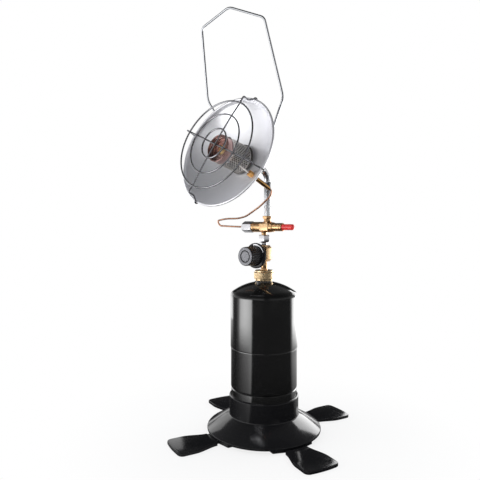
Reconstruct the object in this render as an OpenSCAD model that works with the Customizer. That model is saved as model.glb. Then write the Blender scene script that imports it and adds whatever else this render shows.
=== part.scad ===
// Portable propane heater: a round reflector dish on a disposable fuel cylinder.
// Frame: +Z up, origin on the floor under the cylinder's axis, dish and knob facing -Y.
// All sizes are millimetres, all angles degrees.

/* [Base and legs] */
// Radius of the base skirt's rim
skirt_r = 83.5; // [78:0.5:95]
// Height of the upright lip round the skirt
skirt_lip_h = 3.6; // [2.4:0.2:7]
// Wall of the moulded skirt
skirt_wall = 2.4; // [1.8:0.1:3.5]
// Height of the skirt's cone above its lip
cone_h = 17.2; // [13:0.2:24]
// Height of the collar above the cone
collar_h = 29.5; // [20:0.5:40]
// Wall of the collar that grips the cylinder
collar_wall = 2.8; // [2:0.1:4]
// Thickness of the cup's floor
cup_floor = 2.5; // [1.5:0.1:4]
// Distance from the column axis to a leg's tip
leg_reach = 145; // [135:1:165]
// Half the width of a leg's paddle
paddle_half_w = 26; // [23:0.5:34]
// Half the width of a leg where it leaves the skirt
leg_root_half_w = 18; // [15:0.5:22]
// Thickness of a leg
leg_t = 4.4; // [4:0.1:6.5]
// Radius of a paddle's corners
paddle_corner_r = 7.5; // [4:0.5:14]
// Half the width of the tongue that plugs into the base
tongue_half_w = 13; // [10:0.5:15]
// Width of the flange on each side of the tongue
tongue_flange = 3; // [2:0.5:4]
// Thickness of the tongue's flange
flange_t = 2.2; // [1.6:0.1:3]
// Half the width of a leg socket
socket_half_w = 32; // [26:0.5:36]
// Length of the tongue inside the skirt
tongue_len = 30; // [22:0.5:34]
// Direction of the first leg, measured from +X
leg_turn = -20; // [-44:1:44]

/* [Fuel cylinder] */
// Outer radius of the upper shell
can_upper_r = 49.2; // [47:0.1:52]
// How much smaller the lower shell is
can_step = 0.6; // [0.4:0.1:0.8]
// Outer radius of the foot ring that fits the cup
foot_r = 48; // [46:0.1:48.4]
// Wall of the steel shells
can_wall = 0.9; // [0.7:0.05:1.2]
// Height of the straight side above the cup floor
can_side_h = 179; // [150:1:190]
// Rise of the domed top
dome_h = 21; // [16:0.5:30]
// Radius of the knuckle between the dome and the side
knuckle_r = 8; // [4:0.5:14]
// Height of the lapped seam above the cup floor
seam_h = 103.7; // [80:0.5:130]
// Height of the foot ring
foot_ring_h = 44; // [36:0.5:56]
// Radius of the threaded neck
neck_r = 12.7; // [11:0.1:14]
// Height of the neck above the dome
neck_h = 10; // [8:0.5:11]
// Radius of the relief valve
relief_r = 2.9; // [2:0.1:3.2]
// Distance of the relief valve from the column axis
relief_offset = 19; // [18.6:0.1:24]

/* [Coupling and regulating valve] */
// Radius of the knurled band of the coupling nut
nut_r = 15; // [14.9:0.1:17]
// Height of the coupling nut
nut_h = 15.6; // [14.5:0.1:20]
// Radius of the nut's chamfered ends
nut_end_r = 13.6; // [13.3:0.1:14.5]
// Radius of the inlet stem
stem_r = 5; // [4:0.1:6]
// Length of the stem between nut and valve block
stem_len = 12.3; // [8:0.1:18]
// Width of the valve block across the knob's axis
block_w = 18.8; // [17:0.1:24]
// Depth of the valve block along the knob's axis
block_d = 12.6; // [11:0.1:16]
// Height of the valve block
block_h = 24; // [20:0.5:30]
// Height of the knob's axis above the block's underside
knob_axis_h = 9.4; // [9:0.1:12]
// Radius of the valve spindle
spindle_r = 3; // [2.4:0.1:3.4]
// Radius of the knob's barrel
knob_r = 13.4; // [12:0.1:15]
// Length of the knob's barrel
knob_len = 22; // [16:0.5:28]
// Radius of the knob's skirt
knob_skirt_r = 18.4; // [17:0.1:21]
// Thickness of the knob's skirt
knob_skirt_t = 3.4; // [2.5:0.1:5]
// Distance of the knob's back from the column axis
knob_back = 17.2; // [16.6:0.1:22]
// Length of the neck above the valve block
outlet_neck_h = 4.2; // [3:0.1:8]
// Height of the union nut
union_h = 10.9; // [8:0.1:14]
// Union nut's size across its flats
union_af = 15; // [13:0.1:17]

/* [Safety valve] */
// Radius of the safety valve's barrel
safety_r = 7.6; // [7:0.1:9]
// Length of the barrel on the thermocouple side
safety_left = 20; // [17:0.5:26]
// Length of the barrel on the button side
safety_right = 18; // [16.5:0.5:24]
// Radius of the button housing
housing_r = 5.9; // [5.7:0.1:6.8]
// Length of the button housing
housing_len = 16.6; // [15:0.1:22]
// Radius of the button
button_r = 4.3; // [3.8:0.1:4.9]
// Length of button that stands out of its housing
button_out = 18.6; // [12:0.1:26]
// Travel of the button
button_travel = 4; // [2:0.1:5]
// Thermocouple nut's size across its flats
tc_nut_af = 14.9; // [13:0.1:16]
// Length of the thermocouple nut's hexagon
tc_nut_len = 18; // [12:0.5:24]
// Length of the thermocouple nut's cone
tc_cone_len = 6; // [4:0.5:9]
// Distance of the outlet from the inlet along the valve
outlet_x = 6; // [4:0.5:9]

/* [Burner tube] */
// Outer radius of the burner tube
tube_r = 4.8; // [4:0.1:5.2]
// Wall of the burner tube
tube_wall = 1; // [0.6:0.1:1.4]
// Height of the bend's corner above the safety valve's axis
tube_rise = 80; // [68:1:110]
// Radius of the tube's bend
bend_r = 20; // [14:0.5:22]
// Distance from the bend's corner to the burner seat
tube_reach = 55.8; // [50:0.1:62]
// Upward tilt of the burner
burner_tilt = 12.6; // [10:0.1:15]
// Radius of the air holes
air_hole_r = 2; // [1:0.1:2.4]

/* [Reflector and burner] */
// Radius of the dish at its rim
dish_r = 76; // [72:0.1:82]
// Depth of the dish
dish_depth = 37; // [34:0.5:42]
// Thickness of the dish's sheet
dish_t = 0.8; // [0.6:0.1:1.2]
// Radius of the rolled bead at the rim
bead_r = 1.6; // [1.2:0.1:2]
// Upward tilt of the dish
dish_tilt = 19.4; // [17:0.1:21]
// Drop of the dish's axis below the burner seat
dish_drop = 3.5; // [0:0.1:6]
// Radius of the burner's perforated barrel
barrel_r = 18.5; // [17:0.1:21]
// Length of the perforated barrel
barrel_len = 36; // [28:0.5:38]
// Radius of the burner's front cup
head_r = 17.6; // [15.6:0.1:18.4]
// Length of the front cup that stands out of the barrel
head_out = 10; // [7:0.5:14]
// Wall of the burner's pressed parts
burner_wall = 0.7; // [0.5:0.05:1]
// Distance of the thermocouple's seat from the dish's axis
probe_r = 39.5; // [34:0.5:50]
// Clock angle of the thermocouple's seat, from the top
probe_clock = 129; // [122:1:140]

/* [Wire guard] */
// Radius of the guard's wire
guard_wire_r = 1.1; // [0.8:0.05:1.3]
// Radius of the outer ring
guard_outer_r = 61; // [56:0.5:66]
// Radius of the middle ring
guard_middle_r = 41.3; // [36:0.5:48]
// Radius of the inner ring
guard_inner_r = 20.5; // [14:0.5:28]
// Distance of the outer ring in front of the rim
guard_out = 21.6; // [16:0.2:28]
// Extra height of the two inner rings
guard_dome = 1.6; // [0:0.1:4]
// Clock angle of the first spoke, from the top
spoke_clock = 24; // [0:1:60]

/* [Bail handle] */
// Radius of the handle's wire
bail_wire_r = 1.5; // [1.2:0.05:1.8]
// Half the handle's width at its feet
bail_foot_half_w = 12; // [11.5:0.1:14]
// Half the handle's widest width
bail_wide_half_w = 64.3; // [60:0.1:70]
// Height of the widest place above the feet
bail_wide_h = 91.5; // [86:0.5:100]
// Half the handle's width at its shoulders
bail_shoulder_half_w = 51.2; // [44:0.1:58]
// Height of the shoulders above the feet
bail_shoulder_h = 186; // [170:0.1:210]
// Height of the peak above the feet
bail_peak_h = 204.5; // [190:0.1:230]
// Forward lean of the handle, resting towards the dish
bail_tilt = 22.6; // [14:0.1:23]
// Sideways lean of the loose handle in its holes
bail_lean = 7; // [0:0.1:8]
// Distance of the handle's pivot behind the burner seat
bail_back = 24.2; // [23:0.1:27]

/* [Hidden] */
$fn = 72;
eps = 0.05;
// Clearance of a running fit, on the radius
run_gap = 0.08;
// Clearance between pieces that pass each other
pass_gap = 0.3;
// Gap between a seated piece and its seat on another body
seat_gap = 0.1;

// Heights, from the floor up
skirt_z = leg_t + 0.4;
lip_z = skirt_z + skirt_lip_h;
cone_z = lip_z + cone_h;
cup_r = foot_r + run_gap;
collar_r = cup_r + collar_wall;
collar_z = cone_z + collar_h;
seat_z = cone_z - 4.4;
can_r = can_upper_r - can_step;
foot_z = seat_z + seat_gap;
foot_top_z = seat_z + foot_ring_h;
seam_z = seat_z + seam_h;
dome_z = seat_z + can_side_h;
apex_z = dome_z + dome_h;
nut_z = apex_z + 0.7;
nut_top_z = nut_z + nut_h;
block_z = nut_top_z + stem_len;
block_top_z = block_z + block_h;
knob_z = block_z + knob_axis_h;
union_z = block_top_z + outlet_neck_h;
union_top_z = union_z + union_h;
inlet_boss_len = 3.8;
safety_z = union_top_z + inlet_boss_len + safety_r;
corner_z = safety_z + tube_rise;

// Leg sockets
tongue_r = skirt_r - tongue_len;
socket_r = tongue_r - 2;
slot_gap = pass_gap;
lip_t = leg_t - flange_t - 2 * slot_gap - 0.5;
socket_z = leg_t - flange_t - slot_gap - lip_t;
leg_root_r = skirt_r + 1;
leg_slide = 22;

// Cylinder shells
lap_h = 8;
belly_power = 2.2;
lap_r = can_upper_r - can_wall - eps;
foot_wall = 1.2;
belly_r = foot_r - foot_wall - pass_gap;
groove_h = 2;
relief_turn = -75;
relief_up = 4.6;
core_r = 4.2;

// Coupling
thread_depth = neck_h - (nut_z - apex_z) + 0.9;
nut_bore_r = neck_r + run_gap;
stem_flange_t = 2.4;
stem_flange_r = neck_r - 1.2;
seal_t = 0.8;
stem_flange_z = apex_z + neck_h + seal_t;
nut_shoulder_z = stem_flange_z + stem_flange_t + 0.2;
nut_chamfer = 2.6;
passage_r = 1.6;

// Regulating valve
chamber_r = spindle_r + 1.5;
block_front = block_d / 2;
boss_out = 2.6;
boss_r = chamber_r + 2.9;
gland_af = 13;
gland_len = 6;
gland_z = block_front + boss_out;
spindle_end = knob_back + 16;
spindle_in = 3.4;
knob_front = knob_back + knob_skirt_t + knob_len;
knob_bore = spindle_end + 0.4;
ring_out_r = knob_r - 0.9;
ring_in_r = ring_out_r - 3.7;
cap_r = ring_in_r - 1.6;
inlay_t = 1;
mark_t = 0.4;
block_bevel = 4;

// Safety valve along +X
magnet_bore_r = 5;
guide_bore_r = 1.9;
plunger_r = guide_bore_r - run_gap;
guide_x = 10;
chamber_x = 16;
housing_x = safety_right + housing_len;
button_base = button_travel + 1;
button_x = housing_x - button_base;
chamber_bore_r = button_r + pass_gap;
spring_wire_r = 0.4;
spring_r = plunger_r + spring_wire_r + pass_gap + 0.2;
spring_turns = 6;
tc_hex_x = -safety_left - tc_nut_len;
tc_tip_x = tc_hex_x - tc_cone_len;
lead_r = 1.35;
pad_out = 0.8;
pad_half_h = 5.4;
pad_x = -3;
pad_w = 16;
outlet_boss_r = 5;
outlet_boss_h = 4.6;
outlet_z = safety_z + safety_r + outlet_boss_h;
lock_af = 12.4;
lock_h = 4;
tube_bore_r = tube_r - tube_wall;
tube_z = outlet_z - 3;
air_z = outlet_z + 17;

// Burner tube's bend: the turn from upright to the burner's direction
bend_turn = 90 - burner_tilt;
bend_cut = bend_r * tan(bend_turn / 2);
// The straight lengths reach into the bend, whose wall is a hair thinner
bend_lap = 0.3;
bend_thin = 0.02;
burner_dir = [0, -cos(burner_tilt), sin(burner_tilt)];
dish_dir = [0, -cos(dish_tilt), sin(dish_tilt)];
corner_at = [outlet_x, 0, corner_z];
burner_at = corner_at + tube_reach * burner_dir;
tube_end = 6;

// Dish bowl: part of a sphere
dish_setback = 2.3;
bowl_r = (dish_r * dish_r + dish_depth * dish_depth) / (2 * dish_depth);
pole_at = burner_at - dish_setback * burner_dir;
dish_up = [0, sin(dish_tilt), cos(dish_tilt)];
dish_at = pole_at + dish_depth * dish_dir - dish_drop * dish_up;
bowl_half_angle = asin(dish_r / bowl_r);
bowl_steps = 16;
hub_r = 11;
hub_t = 2.7;
hub_front = -0.9;
hub_back = hub_front - hub_t;
back_nut_af = 14;
back_nut_t = 5.6;
spacer_r = 9;

// Burner, along its own axis from the seat
flange_z = 2.2;
flange_plate_t = 2.4;
flange_rim_r = barrel_r + 2.2;
barrel_z = flange_z + flange_plate_t;
barrel_end = barrel_z + barrel_len;
head_tuck = 5;
head_fold = 4;
head_ease = 0.6;
head_taper = 2;
head_lip_out = 0.9;
head_lip_h = 1.4;
head_back = barrel_end - head_tuck;
head_end = barrel_end + head_out;
screen_in = 9;
screen_z = head_end - screen_in;
rivet_r = 1.4;
rivet_z = barrel_end - 2.5;

// Thermocouple seat on the dish
probe_out = 29;
probe_in = 25;
sleeve_r = 2.6;
sleeve_hole_r = sleeve_r + 0.1;
probe_rod_r = 1.3;
seat_back = sqrt(bowl_r * bowl_r - probe_r * probe_r);
probe_lean = asin(probe_r / bowl_r);

// Guard: wires touch at their welds
weld = 2 * guard_wire_r + eps;
hook_r = bead_r + guard_wire_r + 0.4;

// Bail
bail_at = burner_at - bail_back * burner_dir;
ear_in = 8.4;
ear_t = 2;
ear_hole_r = bail_wire_r + run_gap;
bail_stub_in = ear_in - 1;
clamp_r = tube_r + 2.2;
clamp_w = 8;

// Route of the thermocouple lead, from the cone to the sleeve
lead_bend_r = 9;
lead_route = [
    [-66, 0, 301], [-88, -2, 302], [-92, -3, 310], [-72, -4, 313], [-44, -8, 313],
    [-24, -13, 316], [-8, -18, 322], [8, -21, 329], [22, -25, 336.5], [37, -32, 343]
];

// ---- helpers -------------------------------------------------------------

function unit(v) = v / norm(v);
function smooth(t) = t * t * (3 - 2 * t);
function arc_points(cx, cy, r, from, to, steps) =
    [for (i = [0:steps]) let (a = from + (to - from) * i / steps) [cx + r * cos(a), cy + r * sin(a)]];
function turned(p, a) = [p[0] * cos(a) - p[1] * sin(a), p[0] * sin(a) + p[1] * cos(a)];
function mirrored(pts) = [for (i = [len(pts) - 1:-1:0]) [pts[i][0], -pts[i][1]]];

// Corner number i of a path, rounded with a curve that starts and ends at most r away
function corner_points(p, i, r, steps) =
    let (
        a = p[i - 1] - p[i],
        b = p[i + 1] - p[i],
        cut = min(r, norm(a) * 0.45, norm(b) * 0.45),
        s = p[i] + unit(a) * cut,
        e = p[i] + unit(b) * cut
    )
    [for (k = [0:steps]) let (t = k / steps) (1 - t) * (1 - t) * s + 2 * t * (1 - t) * p[i] + t * t * e];
function rounded_path(p, r, steps) =
    [
        p[0],
        for (i = [1:len(p) - 2]) each corner_points(p, i, r[i - 1], steps),
        p[len(p) - 1]
    ];

function tangent(p, i) = unit(p[min(i + 1, len(p) - 1)] - p[max(i - 1, 0)]);
function carried(p, i, u) =
    i >= len(p) ? [] :
    let (t = tangent(p, i), v = unit(u - (u * t) * t))
    concat([v], carried(p, i + 1, v));

// A round wire along a path of points
module wire(p, r, sides) {
    t0 = tangent(p, 0);
    start = abs(t0[2]) < 0.9 ? [0, 0, 1] : [0, 1, 0];
    u = carried(p, 0, start);
    last = (len(p) - 1) * sides;
    points = [
        for (i = [0:len(p) - 1], k = [0:sides - 1])
            let (v = cross(tangent(p, i), u[i]), a = 360 * k / sides)
            p[i] + r * (cos(a) * u[i] + sin(a) * v)
    ];
    walls = [
        for (i = [0:len(p) - 2], k = [0:sides - 1])
            let (n = (k + 1) % sides, j = i * sides)
            [j + n, j + k, j + sides + k, j + sides + n]
    ];
    polyhedron(
        points = points,
        faces = concat(
            [[for (k = [0:sides - 1]) k]],
            [[for (k = [sides - 1:-1:0]) last + k]],
            walls
        ),
        convexity = 6
    );
}

module ring(outer, inner, h) {
    difference() {
        cylinder(r = outer, h = h);
        translate([0, 0, -1]) cylinder(r = inner, h = h + 2);
    }
}

// A hexagon with turned-off corners at both ends; af is the size across its flats
module hex_bar(af, h, chamfer) {
    corner = af / sqrt(3);
    intersection() {
        cylinder(r = corner, h = h, $fn = 6);
        rotate_extrude()
            polygon([
                [0, 0], [corner - chamfer, 0], [corner, chamfer * 0.6],
                [corner, h - chamfer * 0.6], [corner - chamfer, h], [0, h]
            ]);
    }
}

module hex_nut(af, h, chamfer, bore) {
    difference() {
        hex_bar(af, h, chamfer);
        translate([0, 0, -1]) cylinder(r = bore, h = h + 2);
    }
}

// Places whose +Z is the knob's axis, the safety valve's axis, the dish's or the burner's
module knob_place() { translate([0, 0, knob_z]) rotate([90, 0, 0]) children(); }
module safety_place() { translate([0, 0, safety_z]) rotate([0, 90, 0]) children(); }
module dish_place() { translate(dish_at) rotate([90 - dish_tilt, 0, 0]) children(); }
module burner_place() { translate(burner_at) rotate([90 - burner_tilt, 0, 0]) children(); }
// +Z points out of the dish's back at the thermocouple's seat
module probe_place() {
    dish_place()
        translate([0, 0, bowl_r - dish_depth])
            rotate([0, 0, -probe_clock])
                rotate([180 + probe_lean, 0, 0])
                    translate([0, 0, bowl_r])
                        children();
}

// ---- base and legs --------------------------------------------------------

module base_shell() {
    cone_foot = collar_r + 1.2;
    rotate_extrude()
        polygon([
            [0, seat_z - cup_floor], [cup_r - 2, seat_z - cup_floor],
            [cup_r, cone_z - skirt_wall - 4.4],
            [skirt_r - skirt_wall, lip_z - 1], [skirt_r - skirt_wall, skirt_z],
            [skirt_r, skirt_z], [skirt_r, lip_z - 0.8], [skirt_r - 0.8, lip_z],
            [cone_foot + 1.2, cone_z - 0.4], [cone_foot - 0.6, cone_z + 0.4], [collar_r, cone_z + 1.6],
            [collar_r, collar_z - 1.2], [collar_r - 1.2, collar_z], [cup_r, collar_z],
            [cup_r, seat_z], [0, seat_z]
        ]);
}

// The solid that a socket block may fill: under the cone and inside the lip
module under_skirt() {
    rotate_extrude()
        polygon([
            [0, socket_z], [skirt_r - 1, socket_z], [skirt_r - 1, lip_z - 1],
            [cup_r + 1, cone_z - 2.6], [0, seat_z - cup_floor + 0.2]
        ]);
}

module socket_block() {
    translate([socket_r, -socket_half_w, 0])
        cube([skirt_r - socket_r, 2 * socket_half_w, cone_z]);
}

// The T-shaped slot of one leg, open outwards and downwards
module tongue_slot() {
    half = tongue_half_w + slot_gap;
    wide = half + tongue_flange;
    flange_low = leg_t - flange_t - slot_gap;
    flange_high = leg_t + slot_gap;
    len = skirt_r - tongue_r + 4;
    start = tongue_r - slot_gap;
    translate([start, -half, -1]) cube([len, 2 * half, flange_high + 1]);
    translate([start, -wide, flange_low]) cube([len, 2 * wide, flange_high - flange_low]);
}

module base_cup() {
    color([0.05, 0.05, 0.055])
    difference() {
        union() {
            base_shell();
            intersection() {
                under_skirt();
                for (k = [0:3]) rotate([0, 0, leg_turn + 90 * k]) socket_block();
            }
        }
        for (k = [0:3]) rotate([0, 0, leg_turn + 90 * k]) tongue_slot();
    }
}

// One side of a paddle, from its root to the middle of its tip
function paddle_side() =
    let (
        flare_end = leg_reach - 25,
        side_in = leg_reach - paddle_corner_r,
        corner_y = paddle_half_w - paddle_corner_r,
        corner_x = sqrt(side_in * side_in - corner_y * corner_y),
        tip_angle = atan2(corner_y, corner_x)
    )
    concat(
        [
            for (i = [0:8]) let (t = i / 8)
                [
                    leg_root_r + (flare_end - leg_root_r) * t,
                    leg_root_half_w + (paddle_half_w - leg_root_half_w) * smooth(t)
                ]
        ],
        arc_points(corner_x, corner_y, paddle_corner_r, 90, tip_angle, 6),
        [for (i = [1:6]) let (a = tip_angle * (1 - i / 6)) leg_reach * [cos(a), sin(a)]]
    );

module leg(k) {
    side = paddle_side();
    rim_gap = 0.7;
    color([0.045, 0.045, 0.05])
    rotate([0, 0, leg_turn + 90 * k]) {
        linear_extrude(height = leg_t)
            polygon(concat(side, mirrored(side)));
        translate([tongue_r, -tongue_half_w, 0])
            cube([leg_root_r + rim_gap - tongue_r, 2 * tongue_half_w, leg_t]);
        translate([tongue_r, -tongue_half_w - tongue_flange, leg_t - flange_t])
            cube([leg_root_r + rim_gap - tongue_r, 2 * (tongue_half_w + tongue_flange), flange_t]);
    }
}

// ---- fuel cylinder ---------------------------------------------------------

// Radius of a domed end's crown, with half-width a, rise b and knuckle radius k
function crown_r(a, b, k) = (b * b + pow(a - k, 2) - k * k) / (2 * (b - k));
// Where the crown meets the knuckle, as an angle at the crown's centre
function crown_turn(a, b, k) = atan2(a - k, crown_r(a, b, k) - b);
// Height of the domed end above its foot at radius r
function dome_at(r, a, b, k) =
    let (big = crown_r(a, b, k))
    r < big * sin(crown_turn(a, b, k))
        ? b - big + sqrt(big * big - r * r)
        : sqrt(k * k - pow(r - a + k, 2));
// Points of the domed end, from radius r_in out to its full radius a
function dome_points(a, b, k, r_in, z, steps) =
    let (big = crown_r(a, b, k), turn = crown_turn(a, b, k), start = asin(r_in / big))
    concat(
        [
            for (i = [0:steps]) let (t = start + (turn - start) * i / steps)
                [big * sin(t), z + b - big + big * cos(t)]
        ],
        arc_points(a - k, z, k, 90 - turn - (90 - turn) / 6, 0, 5)
    );
// Points of the belly's curve, of half-width a and depth b, out to its full radius
function belly_points(a, b, z, steps) =
    [
        for (i = [0:steps]) let (t = 90 * i / steps)
            [a * pow(sin(t), 2 / belly_power), z - b * pow(max(cos(t), 0), 2 / belly_power)]
    ];
function reversed(pts) = [for (i = [len(pts) - 1:-1:0]) pts[i]];

module cylinder_foot_ring() {
    color([0.03, 0.03, 0.03])
    rotate_extrude()
        polygon([
            [foot_r - 5, foot_z], [foot_r - 1, foot_z], [foot_r, foot_z + 1],
            [foot_r, foot_top_z - 1], [foot_r - 1, foot_top_z],
            [foot_r - foot_wall, foot_top_z], [foot_r - foot_wall, foot_z + foot_wall],
            [foot_r - 5, foot_z + foot_wall]
        ]);
}

module cylinder_lower_shell() {
    belly_z = foot_z + 30;
    belly_b = 24;
    step_z = foot_top_z + groove_h;
    joggle_z = seam_z - 0.4;
    outer = belly_points(belly_r, belly_b, belly_z, 12);
    inner = belly_points(belly_r - can_wall, belly_b - can_wall, belly_z, 12);
    color([0.02, 0.02, 0.02])
    rotate_extrude()
        polygon(concat(
            outer,
            [
                [belly_r, foot_top_z + 0.4], [can_r, step_z], [can_r, joggle_z],
                [lap_r, joggle_z + 0.4], [lap_r, seam_z + lap_h],
                [lap_r - can_wall, seam_z + lap_h], [lap_r - can_wall, joggle_z],
                [can_r - can_wall, joggle_z - 0.6], [can_r - can_wall, step_z + 0.6],
                [belly_r - can_wall, foot_top_z + 1]
            ],
            reversed(inner)
        ));
}

module cylinder_upper_shell() {
    inner_r = can_upper_r - can_wall;
    hole_r = neck_r + eps;
    color([0.02, 0.02, 0.02])
    difference() {
        rotate_extrude()
            polygon(concat(
                [[inner_r, seam_z], [can_upper_r - 0.3, seam_z], [can_upper_r, seam_z + 0.4]],
                reversed(dome_points(can_upper_r, dome_h, knuckle_r, hole_r, dome_z, 9)),
                dome_points(inner_r, dome_h - can_wall, knuckle_r - can_wall, hole_r, dome_z, 9)
            ));
        rotate([0, 0, relief_turn]) translate([relief_offset, 0, dome_z])
            cylinder(r = relief_r + eps, h = dome_h + 5);
    }
}

module cylinder_neck() {
    neck_foot = apex_z - 8;
    color([0.10, 0.10, 0.10])
    difference() {
        union() {
            translate([0, 0, neck_foot]) cylinder(r = neck_r, h = 8 + neck_h - 0.8);
            translate([0, 0, apex_z + neck_h - 0.8]) cylinder(r1 = neck_r, r2 = neck_r - 0.8, h = 0.8);
            translate([0, 0, neck_foot - 2]) cylinder(r = neck_r + 2.4, h = 2);
        }
        translate([0, 0, neck_foot - 3]) cylinder(r = core_r, h = 30);
        translate([0, 0, apex_z + 2]) cylinder(r = core_r + 3.6, h = neck_h);
    }
}

module cylinder_valve_core() {
    color([0.78, 0.62, 0.30])
    difference() {
        union() {
            translate([0, 0, apex_z - 9]) cylinder(r = core_r - eps, h = 11);
            translate([0, 0, apex_z + 2]) cylinder(r = core_r + 1.8, h = 1.6);
            translate([0, 0, apex_z + 3.6]) cylinder(r = 1.1, h = 2.2);
        }
        translate([0, 0, apex_z - 10]) cylinder(r = 1.5, h = 8);
    }
}

module relief_valve() {
    seat = dome_z + dome_at(relief_offset, can_upper_r, dome_h, knuckle_r);
    color([0.62, 0.60, 0.56])
    rotate([0, 0, relief_turn]) translate([relief_offset, 0, 0])
    difference() {
        union() {
            translate([0, 0, seat - 4]) cylinder(r = relief_r, h = 4 + relief_up - 0.8);
            translate([0, 0, seat + relief_up - 0.8])
                cylinder(r1 = relief_r, r2 = relief_r - 0.8, h = 0.8);
        }
        translate([0, 0, seat + relief_up - 2]) cylinder(r = 1.2, h = 3);
    }
}

// ---- coupling ---------------------------------------------------------------

module coupling_nut() {
    color([0.80, 0.62, 0.32])
    difference() {
        translate([0, 0, nut_z])
            rotate_extrude()
                polygon([
                    [0, 0], [nut_end_r - 1.2, 0], [nut_end_r, 1], [nut_end_r, nut_chamfer],
                    [nut_r, nut_chamfer + 1], [nut_r, nut_h - nut_chamfer - 1],
                    [nut_end_r, nut_h - nut_chamfer], [nut_end_r, nut_h - 1],
                    [nut_end_r - 1.2, nut_h], [0, nut_h]
                ]);
        translate([0, 0, nut_z - 1]) cylinder(r = nut_bore_r, h = nut_shoulder_z - nut_z + 1);
        translate([0, 0, nut_z]) cylinder(r = stem_r + run_gap, h = nut_h + 1);
    }
}

module coupling_seal() {
    color([0.12, 0.12, 0.12])
    translate([0, 0, apex_z + neck_h]) ring(stem_flange_r - 0.6, core_r + 2.6, seal_t);
}

module inlet_stem() {
    pin_z = apex_z + 5.9;
    color([0.80, 0.62, 0.32])
    difference() {
        union() {
            translate([0, 0, stem_flange_z]) cylinder(r = stem_flange_r, h = stem_flange_t);
            translate([0, 0, stem_flange_z]) cylinder(r = stem_r, h = block_z - stem_flange_z);
            translate([0, 0, pin_z]) cylinder(r = 2.6, h = stem_flange_z - pin_z + 0.1);
        }
        translate([0, 0, pin_z + 2]) cylinder(r = passage_r, h = block_z - pin_z);
        translate([0, 0, block_z - 6]) cylinder(r = 3, h = 7);
    }
}

module inlet_filter() {
    color([0.66, 0.56, 0.38])
    translate([0, 0, block_z - 6]) cylinder(r = 3 - eps, h = 5.6);
}

// ---- regulating valve ---------------------------------------------------------

module valve_body() {
    half_w = block_w / 2;
    color([0.80, 0.62, 0.32])
    difference() {
        union() {
            translate([0, block_d / 2, block_z])
                rotate([90, 0, 0])
                    linear_extrude(height = block_d)
                        polygon([
                            [half_w - block_bevel, 0], [half_w, block_bevel],
                            [half_w, block_h - block_bevel], [half_w - block_bevel, block_h],
                            [block_bevel - half_w, block_h], [-half_w, block_h - block_bevel],
                            [-half_w, block_bevel], [block_bevel - half_w, 0]
                        ]);
            knob_place() cylinder(r = boss_r, h = block_front + boss_out);
        }
        knob_place() translate([0, 0, -spindle_in - 0.6])
            cylinder(r = chamber_r, h = block_front + boss_out + spindle_in + 2);
        translate([0, 0, block_z - 1]) cylinder(r = passage_r, h = knob_axis_h + 1);
        translate([0, 0, knob_z]) cylinder(r = passage_r, h = block_h);
    }
}

module gland_nut() {
    color([0.78, 0.60, 0.30])
    knob_place() {
        translate([0, 0, gland_z]) hex_nut(gland_af, gland_len, 1, spindle_r + run_gap);
        translate([0, 0, gland_z - 3]) ring(chamber_r - eps, spindle_r + run_gap, 3);
    }
}

module spindle() {
    color([0.72, 0.70, 0.66])
    knob_place() {
        translate([0, 0, -spindle_in + 1.6]) cylinder(r = spindle_r, h = spindle_end + spindle_in - 1.6);
        translate([0, 0, -spindle_in]) cylinder(r1 = 1, r2 = spindle_r, h = 1.6);
    }
}

module spindle_o_ring() {
    section_r = (chamber_r - spindle_r) / 2 - run_gap / 2;
    color([0.06, 0.06, 0.06])
    knob_place() translate([0, 0, gland_z - 5])
        rotate_extrude() translate([spindle_r + section_r, 0]) circle(r = section_r, $fn = 24);
}

module control_knob() {
    flute_r = 2.2;
    flutes = 24;
    color([0.05, 0.05, 0.055])
    knob_place()
    difference() {
        translate([0, 0, knob_back])
            rotate_extrude()
                polygon([
                    [0, 0], [knob_skirt_r - 0.6, 0], [knob_skirt_r, 0.6],
                    [knob_skirt_r, knob_skirt_t - 1], [knob_skirt_r - 1, knob_skirt_t],
                    [knob_r + 1.2, knob_skirt_t], [knob_r + 0.6, knob_skirt_t + 1.4],
                    [knob_r, knob_skirt_t + knob_len - 1], [knob_r - 1, knob_skirt_t + knob_len],
                    [0, knob_skirt_t + knob_len]
                ]);
        for (k = [0:flutes - 1])
            rotate([0, 0, 360 * k / flutes])
                translate([knob_r + flute_r - 0.35, 0, knob_back + knob_skirt_t + 3])
                    cylinder(r = flute_r, h = knob_len - 5, $fn = 16);
        translate([0, 0, knob_back - 1]) cylinder(r = spindle_r + eps, h = knob_bore - knob_back + 1);
        translate([0, 0, knob_back - 1]) cylinder(r = gland_af / sqrt(3) + 1.2, h = 2.6);
        translate([0, 0, knob_front - inlay_t]) ring(ring_out_r + eps, ring_in_r - eps, inlay_t + 1);
        translate([0, 0, knob_front - inlay_t]) cylinder(r = cap_r + eps, h = inlay_t + 1);
        rotate([90, 0, 0]) translate([0, knob_back + knob_skirt_t + 6, 0]) cylinder(r = 1.55, h = knob_r + 2);
    }
}

module knob_ring() {
    color([0.60, 0.61, 0.63])
    knob_place() translate([0, 0, knob_front - inlay_t]) ring(ring_out_r, ring_in_r, inlay_t + 0.2);
}

module knob_cap() {
    color([0.60, 0.61, 0.63])
    knob_place() translate([0, 0, knob_front - inlay_t]) cylinder(r = cap_r, h = inlay_t);
}

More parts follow.
